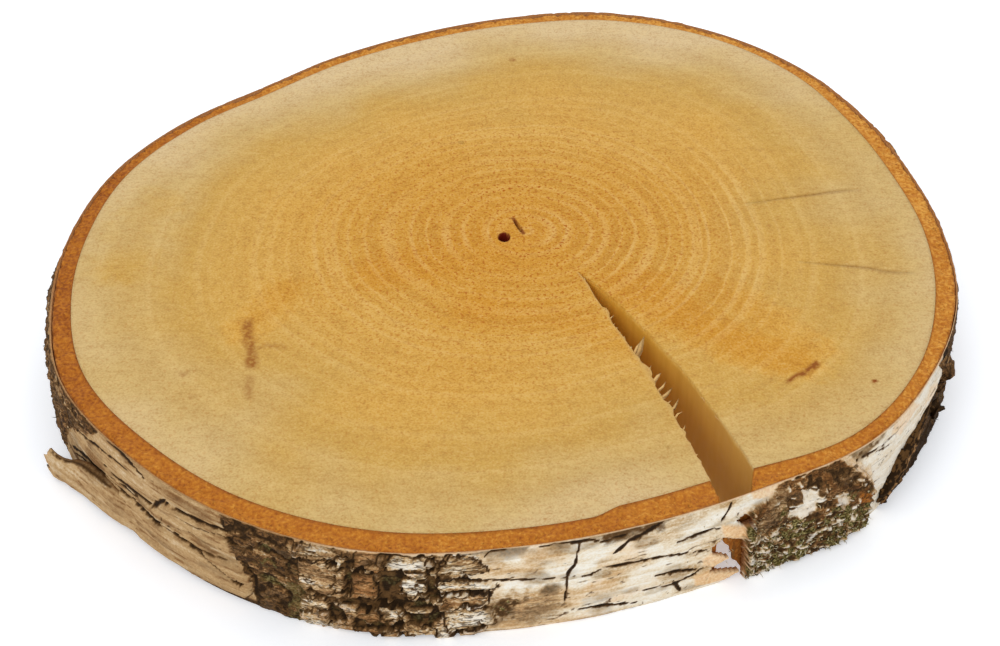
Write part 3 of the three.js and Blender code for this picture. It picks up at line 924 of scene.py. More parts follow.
# Plates at the front: corners, how brown each is, and how orange
PLATES = [
    ([(248.2, 29.6), (252.1, 29.8), (252.3, 27.1), (248.3, 24.6)], 0.3, 0),
    ([(247.9, 22.6), (250.8, 24.7), (251.3, 22.2), (252.7, 22.4), (252.6, 16.2), (250.5, 13.2),
      (247.9, 13.9)], 0.4, 0.05),
    ([(247.7, 10.6), (250.5, 11.0), (250.9, 7.8), (247.6, 5.6)], 0.36, 0),
    ([(253.9, 28.7), (256.1, 29.4), (255.9, 27.2), (253.9, 24.0)], 0.62, 0.2),
    ([(253.6, 21.6), (255.7, 22.6), (256.0, 16.0), (255.6, 14.3), (253.6, 14.3)], 0.62, 0.3),
    ([(256.9, 27.4), (257.5, 28.3), (260.8, 27.7), (261.2, 25.2), (259.7, 24.4), (257.0, 24.6)], 0.04, 0),
    ([(258.5, 20.6), (259.2, 21.5), (261.0, 20.1), (261.1, 17.0), (259.7, 16.1), (258.6, 17.5)], 0.06, 0),
    ([(256.3, 11.5), (258.0, 11.1), (258.0, 7.6), (257.2, 6.3), (256.7, 9.0)], 0.1, 0),
    ([(258.7, 11.6), (261.1, 10.5), (261.9, 9.0), (258.9, 9.6)], 0.25, 0),
    ([(262.3, 26.4), (263.2, 28.6), (266.1, 26.7), (267.2, 22.6), (262.2, 22.6)], 0.2, 0),
    ([(262.2, 20.6), (266.9, 19.4), (268.4, 16.6), (262.2, 17.4)], 0.16, 0),
    ([(262.5, 15.9), (267.2, 14.8), (267.2, 12.2), (262.9, 12.2)], 0.45, 0.15),
    ([(262.6, 10.3), (267.7, 9.4), (267.8, 4.0), (263.6, 2.8), (262.8, 6.5)], 0.14, 0),
    ([(254.2, 9.6), (255.9, 9.8), (256.2, 6.8), (254, 6.6)], 0.5, 0.25),
    ([(253.5, 2.4), (256.6, 2.8), (256.4, 0.6), (253.4, 0.4)], 0.55, 0.3),
    ([(259.2, 3.8), (261.6, 3.6), (261.6, 1.4), (259, 1.4)], 0.4, 0),
]
# Strips of bark at the left that lie over the layer under them
LOBES = [
    [(223, 2), (223, 14.2), (225.2, 14.4), (227.3, 13.2), (229, 11.9), (230.4, 12.4), (233.4, 12.8),
     (235.7, 12.3), (238.1, 13.2), (239.5, 13.0), (241.2, 12.3), (241.9, 9.8), (241.8, 4.5), (241.0, 1.6),
     (236, 1.8)],
    [(226, 17.6), (229, 18.2), (230.2, 20.4), (231.5, 22.5), (236.3, 23), (239.2, 23.8), (241.2, 22.8),
     (242.4, 20), (241.4, 17.6), (239, 17.4), (236.4, 17.1), (234.5, 17.3), (231.9, 15.7), (230.6, 14.7),
     (228.6, 16)],
]
# Darker places on the strips: the middle as bearing and height, half the width and half the height
SHADED_PLACES = [((227.5, 16.2), 5, 1.0), ((218, 17), 5, 3), ((235, 26), 8, 1.6), ((232, 16.6), 4, 1.0)]
# Dark crumbling bark at the left end of the strips, between them and the plates, and at the right
DARK_TOP_LEFT = [(203, -2), (208.4, -2), (210, 12), (212.6, 17.5), (216.4, 23.5), (219, 27), (220, 31),
                 (203, 31)]
DARK_CORNER = [(238.4, 31), (239, 26), (239.8, 21.6), (241.2, 13.1), (242.2, 9), (242.4, -2),
               (247.6, -2), (247.8, 12), (247.4, 31)]
DARK_RIGHT = [(317.4, -2), (318.4, 4), (319.8, 8.6), (322.2, 13.4), (325.4, 17.8), (329.4, 21), (333, 22.4),
              (333.6, 31), (351, 31), (346, 22), (352, 14), (345, 6), (349, -2)]
# Fresh peach layers laid bare: corners and strength
PEACH_PLACES = [
    ([(297.4, 30), (301.8, 30), (300.4, 25.8), (298, 27.4)], 0.75),
    ([(293.8, 22.6), (296.6, 19.3), (298.2, 18.6), (297.7, 16.8), (296.6, 14.7), (294.4, 17.3)], 1.0),
    ([(291.8, 11.3), (293, 13.6), (295.8, 9), (293.3, 7.9), (291.9, 9.6)], 0.9),
    ([(290.9, 6.4), (292.7, 7.2), (297.2, 3), (295, 0.9), (291.2, 2.6)], 0.9),
    ([(318.3, 27), (320.2, 23.9), (323.1, 26.5), (325.1, 26.4), (322.6, 31), (319.5, 31)], 0.55),
    ([(326.4, 23.6), (329, 21.6), (331.4, 21.4), (331, 24.6), (328.4, 27)], 0.4),
]
# The thick mossy plate right of the mouth
MOSSY_PLATE = [(297.4, 23.6), (300, 26.2), (301.6, 29.2), (305, 29.6), (309.9, 29.4), (312.2, 24.4),
               (314.2, 18.3), (314.9, 10), (314.4, 3), (313.4, -1), (297.4, -1), (297, 4.2), (296.8, 10),
               (296.8, 16)]
# Grey stains: the middle as bearing and height, half the width and height, and the strength
STAINED_PLACES = [
    ((274.2, 13.2), 2.8, 2.2, 1.0), ((272.6, 5.4), 6.5, 3.6, 0.6), ((268.6, 7), 3.8, 4.6, 1.0),
    ((284.6, 23.6), 4, 2.4, 0.6), ((282.5, 27.6), 6, 1.6, 0.9), ((312.4, 27.8), 5, 2.2, 1.0),
    ((315.6, 28.4), 5, 1.2, 1.0), ((319, 29.4), 3, 0.8, 0.7), ((290.5, 21), 4, 1.6, 0.5),
    ((288.2, 9), 5, 3, 0.5), ((279.6, 15.6), 3, 1.4, 0.45), ((272.4, 18.6), 4.5, 2.6, 0.5),
]
# Places on the mossy plate: white where it has chipped, grey, white on its crest, and rusty
PLATE_CHIPS = [
    [(304.0, 25.4), (306.2, 23.6), (306.2, 19.8), (305.5, 16.2), (302.6, 17.4), (301.8, 20.0),
     (303.8, 21.4)],
    [(308.4, 19.4), (310.7, 17.4), (310.8, 13.8), (309.6, 13.8)],
    [(297.6, 3.2), (300.4, 2.6), (302.4, 0.4), (297.6, 0)],
]
GREY_PLACE = [(297.9, 15), (298, 21.8), (299.2, 24.4), (300.8, 27.8), (302.4, 27.6), (301.6, 23.6),
              (300.8, 19), (299.6, 16)]
CREST = [(309.6, 29.6), (310.6, 29.6), (312.6, 24.9), (314.9, 19.6), (315.4, 14.4), (314.6, 13.6),
         (313.8, 18.0), (311.8, 23.6)]
RUST_PLACE = [(312.1, 16.6), (314.2, 13.4), (314.6, 9.4), (312.4, 11.2)]


class Bark:
    """What the bark is like at each point of a table, put on in layers: how far out it stands, and LOOKS."""

    def __init__(self, bearing, z):
        self.place = bearing, z
        self.bearing, self.z, self.s = bearing, z, bearing * MM_PER_DEGREE
        self.x, self.y, _ = np.moveaxis(beyond(bearing, 0, z), -1, 0)
        self.values = {name: np.zeros(self.x.shape) for name in ("out", *LOOKS)}
        meander = 20 * within(bearing, *WANDERING_BORDERS) * (self.along(16, 7, 47) - 0.5)
        self.wandering = bearing + 3.2 * (self.lumps(8, 8, 61) - 0.5) + meander
        self.jagged = bearing + 4.0 * (self.along(5, 3.5, 53) - 0.5) + meander
        self.fine = self.lumps(1.6, 1.2, 62)
        self.streaks = self.along(12, 0.9, 64) - 0.5
        self.lines = smooth(np.abs(noise(self.s / 7, z / 1.0, 0, 66) - 0.5), 0.06, 0.015)
        self.blotches = self.along(9, 4, 67)
        inside, _, _ = plates(self.s, z, 5.2, 1.5, 72)
        parted = smooth(inside + 0.3 * (self.fine - 0.5), 0.16, 0.02)
        self.parted = parted * self.blots(4, 2, 58, 0.46, 0.56, 4)

    def along(self, long, tall, seed, shift=0):
        """Noise from 0 to 1 on the unrolled bark, in lumps of long by tall millimetres."""
        return layered(self.s / long, self.z / tall, shift, seed)

    def blots(self, long, tall, seed, low, high, shift=0):
        """The same noise, 0 up to its value low and 1 from its value high."""
        return smooth(self.along(long, tall, seed, shift), low, high)

    def lumps(self, wide, tall, seed, octaves=3):
        """Noise from 0 to 1 in space, in lumps of wide by wide by tall millimetres."""
        return layered(self.x / wide, self.y / wide, self.z / tall, seed, octaves)

    def patch(self, corners, soft, ragged):
        return patch(*self.place, corners, soft, ragged)

    def lay(self, mask, **values):
        """Brings each named value to the one given where the mask is 1."""
        for name, value in values.items():
            self.values[name] = self.values[name] + mask * (value - self.values[name])

    def deepen(self, **values):
        """Keeps the larger of each named value and the one given."""
        for name, value in values.items():
            self.values[name] = np.maximum(self.values[name], value)

    def push(self, amount):
        """Moves the surface outward."""
        self.values["out"] = self.values["out"] + amount


def white_paper(bark):
    """White paper with faint level lines and peach and grey places, under all the rest."""
    streaks, lines = bark.streaks, bark.lines
    swell = bark.lumps(11, 11, 63) - 0.5
    stained = 1 - 0.7 * within(bark.bearing, *UNSTAINED_PAPER)
    bark.lay(1, out=SKIN + 0.9 * swell + 0.6 * streaks + 0.2 * (bark.fine - 0.5),
             tone=0.12 + 0.45 * streaks + 0.22 * smooth(bark.lumps(13, 6, 65), 0.45, 0.7),
             crack=0.55 * lines * smooth(bark.blotches, 0.46, 0.62),
             grime=0.5 * bark.blots(8, 2.5, 68, 0.56, 0.72),
             fresh=0.4 * bark.blots(10, 3, 69, 0.5, 0.7) * stained, rough=0.35)
    darker = 0.7 * within(bark.bearing, *DULL_PAPER) * bark.blots(9, 5, 54, 0.36, 0.6)
    bark.lay(darker, tone=0.4 + 0.5 * streaks, fresh=0.35)
    clean = 0.75 * within(bark.bearing, *CLEAN_PAPER)
    bark.lay(clean, tone=0.02 + 0.5 * streaks, grime=0.1, crack=0.5 * lines, fresh=0.1)


def cracked_plates(bark):
    """Cracked plates, with wider cracks in the middle of the front."""
    bearing, streaks, parted = bark.bearing, bark.streaks, bark.parted
    plated = np.max([within(bark.jagged, *place) for place in PLATED], 0)
    finer = bark.lumps(0.9, 0.7, 60)
    inside, label, other = plates(bark.s, bark.z, 8.6, 3.4, 71)
    inside = inside + 0.35 * (bark.fine - 0.5) + 0.15 * (finer - 0.5)
    wide = 0.07 + 0.12 * within(bearing, *OPEN_PLATES) + 0.22 * (bark.lumps(6, 5, 70) - 0.5)
    gap = smooth(inside, wide + 0.1, wide - 0.06)
    height = (1 - gap) * (1.0 + 1.5 * label - 0.7 * parted)
    browner = 0.16 + 0.24 * within(bearing, *BROWN_PLATES) + 0.16 * within(bearing, *BROWNEST_PLATES)
    bark.lay(plated, out=0.6 + height + 0.6 * streaks + 0.5 * (finer - 0.5),
             tone=browner + 0.3 * (other - 0.5) + 0.7 * streaks + 0.25 * (finer - 0.5),
             crack=np.maximum(gap, np.maximum(0.45 * bark.lines, 0.8 * parted)),
             grime=0.45 * smooth(bark.blotches, 0.5, 0.7), fresh=0.15 * label,
             cork=0.3 * smooth(noise(bark.s / 5, bark.z / 3, 0, 59), 0.6, 0.8), rough=1)


def front_plates(bark):
    """The dark hollows and the plates that the photo shows at the front, and the stain right of them."""
    fine, streaks, parted = bark.fine, bark.streaks, bark.parted
    for corners in HOLLOWS:
        hollow = bark.patch(corners, 0.4, 1.6)
        bark.lay(hollow, crack=0.6 + 0.35 * smooth(fine, 0.62, 0.38), out=0.9 + 0.8 * (fine - 0.5), cork=0,
                 tone=0.8)
        bark.deepen(moss=0.42 * hollow * bark.blots(4, 2.5, 79, 0.5, 0.65, 2))
    edge_width = 0.15 + 1.5 * bark.along(5, 3, 52)
    for corners, brown, orange in PLATES:
        depth = depth_inside(*bark.place, corners, 1.8)
        bark.deepen(crack=0.9 * smooth(depth, -edge_width, -0.5 * edge_width) * smooth(depth, 0.3, -0.3))
        edge = 0.25 * smooth(depth, 1.2, 0.2)
        bark.lay(smooth(depth, -0.3, 0.3), out=2.0 + 0.8 * (fine - 0.5) - 0.6 * parted,
                 tone=brown + 0.06 + 0.5 * streaks + 0.5 * (bark.blotches - 0.5) + edge,
                 crack=np.maximum(0.45 * bark.lines, 0.75 * parted),
                 grime=0.25 * smooth(bark.blotches, 0.5, 0.7), moss=0, fresh=0.12, cork=orange)
    smudge = spot(*bark.place, (271.4, 8), 8, 5.5, 0.6, 57)
    bark.lay(0.9 * smudge, tone=0.58 + 0.6 * streaks, fresh=0.4, grime=0.55 * smooth(fine, 0.4, 0.6),
             crack=0.5 * bark.blots(3, 1.2, 56, 0.56, 0.68), rough=0.7)
    mossy_spot = spot(*bark.place, (268.9, 8.2), 3.2, 3.6, 0.9, 48)
    bark.lay(mossy_spot, tone=0.7, crack=0.7 * smooth(fine, 0.56, 0.44), rough=1)
    bark.deepen(moss=0.7 * mossy_spot * smooth(fine, 0.46, 0.6))


def beige_strips(bark):
    """Smooth beige strips at the left, lapping over each other."""
    bearing, z, streaks = bark.bearing, bark.z, bark.streaks
    drift = within(bearing + 1.6 * (noise(z / 4, 0, 0, 49) - 0.5), *STRIPS)
    sweep = bark.along(22, 2.8, 73)
    flecks = bark.blots(6, 0.7, 75, 0.6, 0.74)
    bark.lay(drift, out=1.0 + 1.2 * (sweep - 0.5) + 0.25 * streaks + 0.2 * (bark.fine - 0.5),
             tone=0.48 + 0.25 * streaks + 0.25 * (bark.along(5, 1.4, 74) - 0.5) + 0.2 * flecks,
             crack=0.4 * bark.lines * bark.blots(8, 2, 76, 0.6, 0.72),
             grime=0.4 * bark.blots(7, 2, 78, 0.52, 0.7), fresh=0, moss=0, cork=0, rough=0.1)
    for corners in LOBES:
        depth = depth_inside(*bark.place, corners, 0.7)
        over = drift * smooth(depth, -0.2, 0.5)
        bark.deepen(crack=0.8 * drift * smooth(depth, -0.8, -0.2) * smooth(depth, 0.2, -0.1)
                    * bark.blots(5, 4, 55, 0.34, 0.5))
        bark.lay(0.6 * over, crack=0, tone=0.5 + 0.2 * streaks + 0.15 * flecks)
        bark.push(1.0 * over)
    # Painted contact shadow: a dark band along the foot of the strips where they meet the floor, where the
    # bark is also thinner
    under = drift * smooth(z + 1.2 * (layered(bark.s / 6, 0, 0, 51) - 0.5), 2.6, 1.4)
    bark.lay(under, out=0.5, crack=0.75, tone=0.8)
    for centre, half_wide, half_tall in SHADED_PLACES:
        shaded = spot(*bark.place, centre, half_wide, half_tall, 0.4, 50)
        bark.lay(0.6 * shaded, tone=0.78 + 0.4 * streaks, grime=0.4)


def crumbling_bark(bark):
    """Dark crumbling bark behind the strips, right of them and round the right side."""
    b = bark.wandering
    crumbs = bark.lumps(1.9, 1.4, 77, 4)
    low_right = bark.patch(DARK_RIGHT, 0.5, 1.6)
    crumbly = np.max([within(b, *CRUMBLING_LEFT), bark.patch(DARK_CORNER, 0.4, 2.4),
                      bark.patch(DARK_TOP_LEFT, 0.6, 3.0), low_right, within(b, *CRUMBLING_RIGHT)], 0)
    thick = 0.8 * within(b, *THICK_AT_LEFT) - 0.5 * low_right - 0.35 * within(b, *THIN_AT_RIGHT)
    darker = 0.25 * within(b, *DARK_AT_RIGHT)
    bark.lay(crumbly, out=0.8 + thick + 2.6 * (crumbs - 0.35).clip(0, 1),
             tone=0.77 + 0.8 * bark.streaks + 0.9 * (crumbs - 0.5) + darker,
             crack=0.85 * smooth(crumbs, 0.56, 0.4), grime=0.4 * smooth(bark.blotches, 0.5, 0.6), fresh=0,
             cork=0.38 * within(b, *CORKY_AT_RIGHT), rough=0.9)
    bark.deepen(moss=within(b, *MOSSY_CORNER) * 0.5 * smooth(bark.lumps(4, 3, 79), 0.46, 0.62),
                crack=low_right * 0.85 * smooth(bark.lumps(5, 4, 80), 0.4, 0.54) * smooth(b, 345, 335))


def cracks_and_stains(bark):
    """Drawn cracks, dark weathering under the sawn rim, and stains on the front."""
    for points, half in FRONT_CRACKS + SIDE_CRACKS + STRIP_CRACKS:
        mask = stroke(*bark.place, points, half)
        bark.deepen(crack=mask)
        bark.push(-0.9 * mask)
    rim = smooth(bark.z, THICKNESS - 6, THICKNESS - 0.5) * smooth(bark.lumps(5, 2.4, 81), 0.44, 0.6)
    bark.deepen(grime=0.9 * rim * within(bark.wandering, *GRIMY_RIM),
                crack=0.6 * rim * within(bark.wandering, *CRACKED_RIM))
    for centre, half_wide, half_tall, strength in STAINED_PLACES:
        mark = strength * spot(*bark.place, centre, half_wide, half_tall)
        bark.deepen(grime=mark, crack=0.55 * mark * smooth(bark.fine, 0.52, 0.62))
        bark.lay(0.6 * mark, tone=0.5 + 0.5 * bark.streaks)
    for corners, strength in PEACH_PLACES:
        place = strength * bark.patch(corners, 0.3, 0.8)
        bark.lay(place, fresh=0.95, crack=0.3 * bark.lines, grime=0, tone=0.2 + 0.5 * bark.streaks)
        bark.push(0.5 * place)


def mossy_plate(bark):
    """The thick mossy plate right of the mouth, with its flakes, chips and crest."""
    bearing, z, streaks, lines = bark.bearing, bark.z, bark.streaks, bark.lines
    plate = bark.patch(MOSSY_PLATE, 0.35, 2.6)
    crumb = bark.lumps(1.5, 1.2, 83, 4)
    knobs = bark.lumps(7, 7, 84)
    slope = smooth(z, THICKNESS + 2, THICKNESS - 8)
    bark.lay(plate, out=1.0 + slope * (1.4 + 2.6 * knobs) + 2.4 * (crumb - 0.5),
             tone=0.8 + 0.7 * (crumb - 0.5) + 0.7 * streaks, crack=0.8 * smooth(crumb, 0.55, 0.42), fresh=0,
             grime=0.5 * smooth(z + 8 * (knobs - 0.5), 16, 22) * smooth(bark.blotches, 0.45, 0.55),
             cork=0.16 * smooth(knobs, 0.4, 0.6), rough=1)
    green = plate * smooth(z + 10 * (knobs - 0.5) + 0.4 * (bearing - 306), 24, 15)
    bark.deepen(moss=green * smooth(crumb, 0.44, 0.56) * bark.blots(5, 4, 86, 0.3, 0.46, 3))
    left_margin = smooth(bearing, 302.5, 299) * smooth(np.abs(z - 9), 9, 6)
    in_moss = smooth(z + 0.4 * (bearing - 306), 20, 14)
    flake = plate * smooth(bark.along(1.9, 0.9, 85) + 0.1 * left_margin + 0.03 * in_moss, 0.65, 0.71)
    bark.lay(flake, tone=0.1 + 0.8 * streaks, crack=0.3 * lines, moss=0, grime=0.15, rough=0.6)
    bark.push(0.6 * flake)
    bark.lay(0.75 * bark.patch(GREY_PLACE, 0.6, 2.0), tone=0.56 + 0.6 * (crumb - 0.5), grime=0.75,
             crack=0.3 * smooth(crumb, 0.5, 0.4), moss=0)
    for corners in PLATE_CHIPS:
        chip = bark.patch(corners, 0.25, 1.3)
        bark.lay(chip, tone=0.05 + 0.4 * streaks, crack=0.4 * lines, moss=0, grime=0, fresh=0.1, rough=0.35)
        bark.push(-0.7 * chip)
    crest = bark.patch(CREST, 0.25, 1.2)
    bark.lay(0.9 * crest, tone=0.16 + 0.6 * streaks, crack=0.4 * lines, moss=0, grime=0, fresh=0.45)
    bark.push(0.5 * crest)
    bark.lay(0.9 * bark.patch(RUST_PLACE, 0.4, 1.4), cork=1, moss=0, grime=0,
             crack=0.5 * smooth(crumb, 0.5, 0.4))


def paint_bark(bearing, z):
    """How far out the bark stands at each point, and its looks there."""
    bark = Bark(bearing, z)
    for lay_on in (white_paper, cracked_plates, front_plates, beige_strips, crumbling_bark,
                   cracks_and_stains, mossy_plate):
        lay_on(bark)
    # The rim is thinner where the saw has broken it off
    broken = 0.6 + 0.22 * within(bearing, *BROKEN_RIM)
    thin = 1 - broken * smooth(z, THICKNESS - 3, THICKNESS - 0.3)
    thin = thin - 0.35 * smooth(z, 2, 0.2)
    values = {name: bark.values[name].clip(0, 1) for name in LOOKS}
    values["out"] = bark.values["out"].clip(0.7, None) * thin
    return values


def torn_cells(bearing, z):
    """Which cells of the bark's table are torn away at the mouth."""
    cell_bearing = bearing + np.diff(np.append(bearing, BARK_START + 360)) / 2
    cell_z = np.concatenate([[0.0], (z[1:] + z[:-1]) / 2, [THICKNESS]])
    b, z = np.meshgrid(cell_bearing, cell_z, indexing="ij")
    jag = 0.35 * (noise(b * MM_PER_DEGREE / 0.8, z / 0.8, 0, 91) - 0.5)
    return inside_polygon(b + jag, z + jag, UPPER_TEAR) | inside_polygon(b + jag, z + jag, LOWER_TEAR)


# For each neighbour of a cell, the two ends of the side between them
NEIGHBOURS = [((1, 0), (1, 0), (1, 1)), ((-1, 0), (0, 1), (0, 0)), ((0, 1), (1, 1), (0, 1)),
              ((0, -1), (0, 0), (1, 0))]


def sheet_faces(front, back, torn):
    """Faces of a sheet that goes once round, without its torn cells. Front and back are tables of point
    numbers, and the back's rows are either full or have only their two ends, with -1 between them."""
    n, m = front.shape
    here, following = np.arange(n), np.roll(np.arange(n), -1)
    full = (back >= 0).all(1)
    full = full & full[following]
    back_grid = grid_faces(back, True)[:, [0, 3, 2, 1]].reshape(n, m - 1, 4)
    faces = [grid_faces(front, True).reshape(n, m - 1, 4)[~torn], back_grid[full[:, None] & ~torn]]
    for i in here[~full]:
        left, right = back[i], back[following[i]]
        faces.append(np.append(left[left >= 0], right[right >= 0][::-1]))

    def side(p, q):
        """Faces from the front to the back, along the edges from points p to points q."""
        return np.stack([front[q], front[p], back[p], back[q]], -1)

    low, high = ~torn[:, 0], ~torn[:, -1]
    faces += [side((here[low], 0), (following[low], 0)), side((following[high], -1), (here[high], -1))]
    padded = np.pad(torn, 1)
    for (di, dj), (pi, pj), (qi, qj) in NEIGHBOURS:
        i, j = np.nonzero(~torn & padded[1 + di:1 + di + n, 1 + dj:dj + m])
        faces.append(side((i + pi, j + pj), (i + qi, j + qj)))
    return faces


def build_outer_bark(material):
    """The bark's sheet: its outer face, its two sawn rims and its back, with the tear cut through."""
    bearing = np.concatenate([np.linspace(start, end, round((end - start) / step), endpoint=False)
                              for start, end, step in BARK_COLUMNS])[:, None]
    z = np.linspace(0, THICKNESS, BARK_LEVELS + 1)[None, :]
    values = paint_bark(bearing, z)
    out = values["out"]
    heights = np.broadcast_to(z, out.shape).copy()
    heights[:, 0], heights[:, -1] = RIM_BEVEL, THICKNESS - RIM_BEVEL
    low_rim = beyond(bearing, 0.6 * out[:, :1], 0.0)
    top_rim = beyond(bearing, 0.55 * out[:, -1:], THICKNESS)
    table = np.concatenate([low_rim, beyond(bearing, out, heights), top_rim], 1)
    n, m = table.shape[:2]

    # The top rim: pinkish at the front, like the inner bark behind and greyish at the left
    front, behind = within(bearing, *PINK_RIM), within(bearing, *ORANGE_RIM)
    rim = {"tone": 0.55 - 0.35 * front, "crack": 0.25 * values["crack"][:, -1:] * (1 - behind),
           "grime": 0.3 - 0.2 * front, "moss": 0 * front, "fresh": 0.6 * front,
           "cork": 0.15 + 0.75 * behind, "rough": 0.2 + 0 * front}
    values["crack"][:, -1:] = np.maximum(values["crack"][:, -1:], 0.6 * behind)

    # The back has as many rows as the front at the mouth, and is a plain wall elsewhere
    has_point = np.zeros((n, m), bool)
    has_point[:, [0, -1]] = True
    has_point[(bearing[:, 0] > MOUTH[0] + 0.1) & (bearing[:, 0] < MOUTH[1] - 0.1)] = True
    back = np.full((n, m), -1)
    back[has_point] = n * m + np.arange(has_point.sum())
    back_z = np.hstack([np.zeros((n, 1)), heights, np.full((n, 1), THICKNESS)])
    points = np.vstack([table.reshape(-1, 3), beyond(bearing, 0, back_z)[has_point]])

    faces = sheet_faces(np.arange(n * m).reshape(n, m), back, torn_cells(bearing[:, 0], z[0]))
    mesh = make_mesh("outer_bark_visual", points, faces)
    for name in LOOKS:
        front_values = np.hstack([values[name][:, :1], values[name], rim[name]]).ravel()
        back_values = np.full(has_point.sum(), BACK_LOOKS.get(name, 0.0))
        add_values(mesh, **{name: np.concatenate([front_values, back_values])})
    change_mesh(mesh, drop_unused)
    add_piece("birch_bark", mesh, material, "outer_bark")


# The strip that has peeled free at the left: stations as bearing, low edge, high edge, and how far its
# inner and outer faces stand out from the inner bark
STRIP_STATIONS = [
    (228, 2.6, 12.2, 0.2, 0.9), (223.5, 2.0, 13.0, 0.5, 2.9), (220.5, 1.6, 13.8, 0.6, 3.7),
    (218, 1.2, 13.9, 1.0, 4.3), (216, 0.9, 13.0, 1.9, 4.9), (214, 0.9, 10.6, 3.8, 6.2),
    (212.4, 0.6, 10.2, 5.4, 7.4), (210.6, 0.2, 11.2, 7.0, 8.6),
]
STRIP_STEPS = 110
STRIP_SIDE = 22

# The dark bark curled up at the right: stations as bearing, height of its middle and its radius
PEEL_STATIONS = [(328.2, 19.6, 1.1), (325.4, 17.8, 1.7), (322.9, 15.4, 2.1), (321.1, 12.6, 2.3),
                 (319.6, 9.6, 2.3), (318.4, 6.6, 2.1), (317.4, 3.8, 1.5)]
PEEL_STEPS = 110
PEEL_STEP_LENGTH = 0.32
# Its curl goes from one angle to another round its middle, with 0 straight out
PEEL_TURN = (200, 500)
PEEL_SIDE = 40
PEEL_WALL = 0.9

# Flakes standing out at the right side, as corners of bearing, distance out and height. Each is drawn
# together towards its middle in rings, and its rear is set off from its front
FLAKES = [
    [(331.6, 0.4, 28.8), (334.0, 1.4, 29.2), (335.0, 3.2, 25.4), (334.4, 4.4, 21.9), (333, 3.8, 22.8),
     (333.4, 0.6, 19.4)],
    [(331.8, 0.4, 21.4), (333.0, 2.2, 21), (332.8, 2.8, 20.2), (331.9, 2.0, 19.4), (332.4, 0.4, 17.6)],
    [(330.4, 0.4, 16.4), (331.9, 1.6, 17.0), (331.5, 2.6, 15.3), (331.9, 4.2, 13.6), (330.6, 2.4, 14.2),
     (329.6, 2.8, 13.8), (331.2, 0.4, 11.6)],
]
FLAKE_RINGS = (1.0, 0.72, 0.4)
FLAKE_REAR = (0.35, -0.1, -0.25)

# The brown layer behind the tear: heights and the bearings of its left edge, then its right edge
TORN_LAYER = [(24, 295.8), (22.5, 295.5), (17, 295.2), (14.5, 294.8), (10.3, 295.8), (6.1, 296.4),
              (4, 297.1), (1.5, 297.6)]
TORN_LAYER_END = 299.2


def between_stations(stations, steps):
    """Values on smooth curves through a list of stations, at evenly spread steps, each as a column."""
    table = np.array(stations, float)
    place = np.linspace(0, len(table) - 1, steps)
    i = np.clip(np.floor(place).astype(int), 0, len(table) - 2)
    padded = np.vstack([2 * table[:1] - table[1:2], table, 2 * table[-1:] - table[-2:-1]])
    values = on_curve(*(padded[i + k] for k in range(4)), (place - i)[:, None])
    return values.T[:, :, None]


def add_bark_piece(name, points, faces, material, values):
    """A closed piece in the outer bark's material. Looks that are not given are 0."""
    mesh = make_mesh(name, points.reshape(-1, 3), faces)
    change_mesh(mesh, face_out)
    shape = points.shape[:-1]
    add_values(mesh, **{key: np.broadcast_to(np.clip(values.get(key, 0.0), 0, 1), shape) for key in LOOKS})
    add_piece(name, mesh, material, "outer_bark")


def build_strip(material):
    """The peeled strip, frayed at its free end."""
    bearing, low, high, inner, outer = between_stations(STRIP_STATIONS, STRIP_STEPS)
    s = bearing * MM_PER_DEGREE
    low = low + 0.9 * (layered(s / 3, 0, 0, 102) - 0.5)
    high = high + 0.9 * (layered(s / 3, 5, 0, 102) - 0.5)
    up = np.linspace(0, 1, STRIP_SIDE)[None, :]
    bow = np.sin(up * math.pi)
    face_z = low + (high - low) * up
    z = np.hstack([face_z, face_z[:, ::-1]])
    is_out = np.repeat([[1.0, 0.0]], STRIP_SIDE, 1)
    streaks = layered(s / 12, z / 0.9, 0, 101) - 0.5
    out = np.hstack([outer - 1.1 * (1 - bow ** 0.5), np.broadcast_to(inner, face_z.shape)])
    out = out + is_out * (0.7 * streaks + 0.4 * (layered(s / 7, z / 3, 0, 108) - 0.5))
    torn = smooth(bearing, STRIP_STATIONS[-2][0] + 1.2, STRIP_STATIONS[-1][0])
    teeth = layered(z / 1.6, 0, 0, 103) - 0.62 + 0.5 * np.abs(z - 6.5) / 5
    frayed = bearing + torn * (2.2 * teeth + 0.04 * (z - 6))
    points = polar(frayed, bark_edge(bearing) + LAYER_GAP + out, z)
    grain = 0.25 * streaks + 0.25 * (layered(s / 5, z / 1.5, 0, 104) - 0.5)
    flecks = smooth(layered(s / 5, z / 0.8, 0, 109), 0.58, 0.72)
    edge = smooth(np.abs(z - (low + high) / 2) / (high - low), 0.4, 0.5)
    add_bark_piece("peeled_strip", points, loft_faces(*z.shape), material, {
        "tone": 0.47 + grain + 0.3 * (1 - is_out) + 0.2 * flecks,
        "rough": 0.1,
        "crack": 0.75 * edge * is_out * smooth(layered(s / 4, z / 3, 0, 105), 0.36, 0.56),
        "fresh": 0.5 * smooth(torn, 0.75, 1.0) * smooth(layered(z / 1.2, s, 0, 106), 0.45, 0.6),
        "grime": 0.25 * smooth(layered(s / 6, z / 2, 0, 107), 0.5, 0.7),
    })


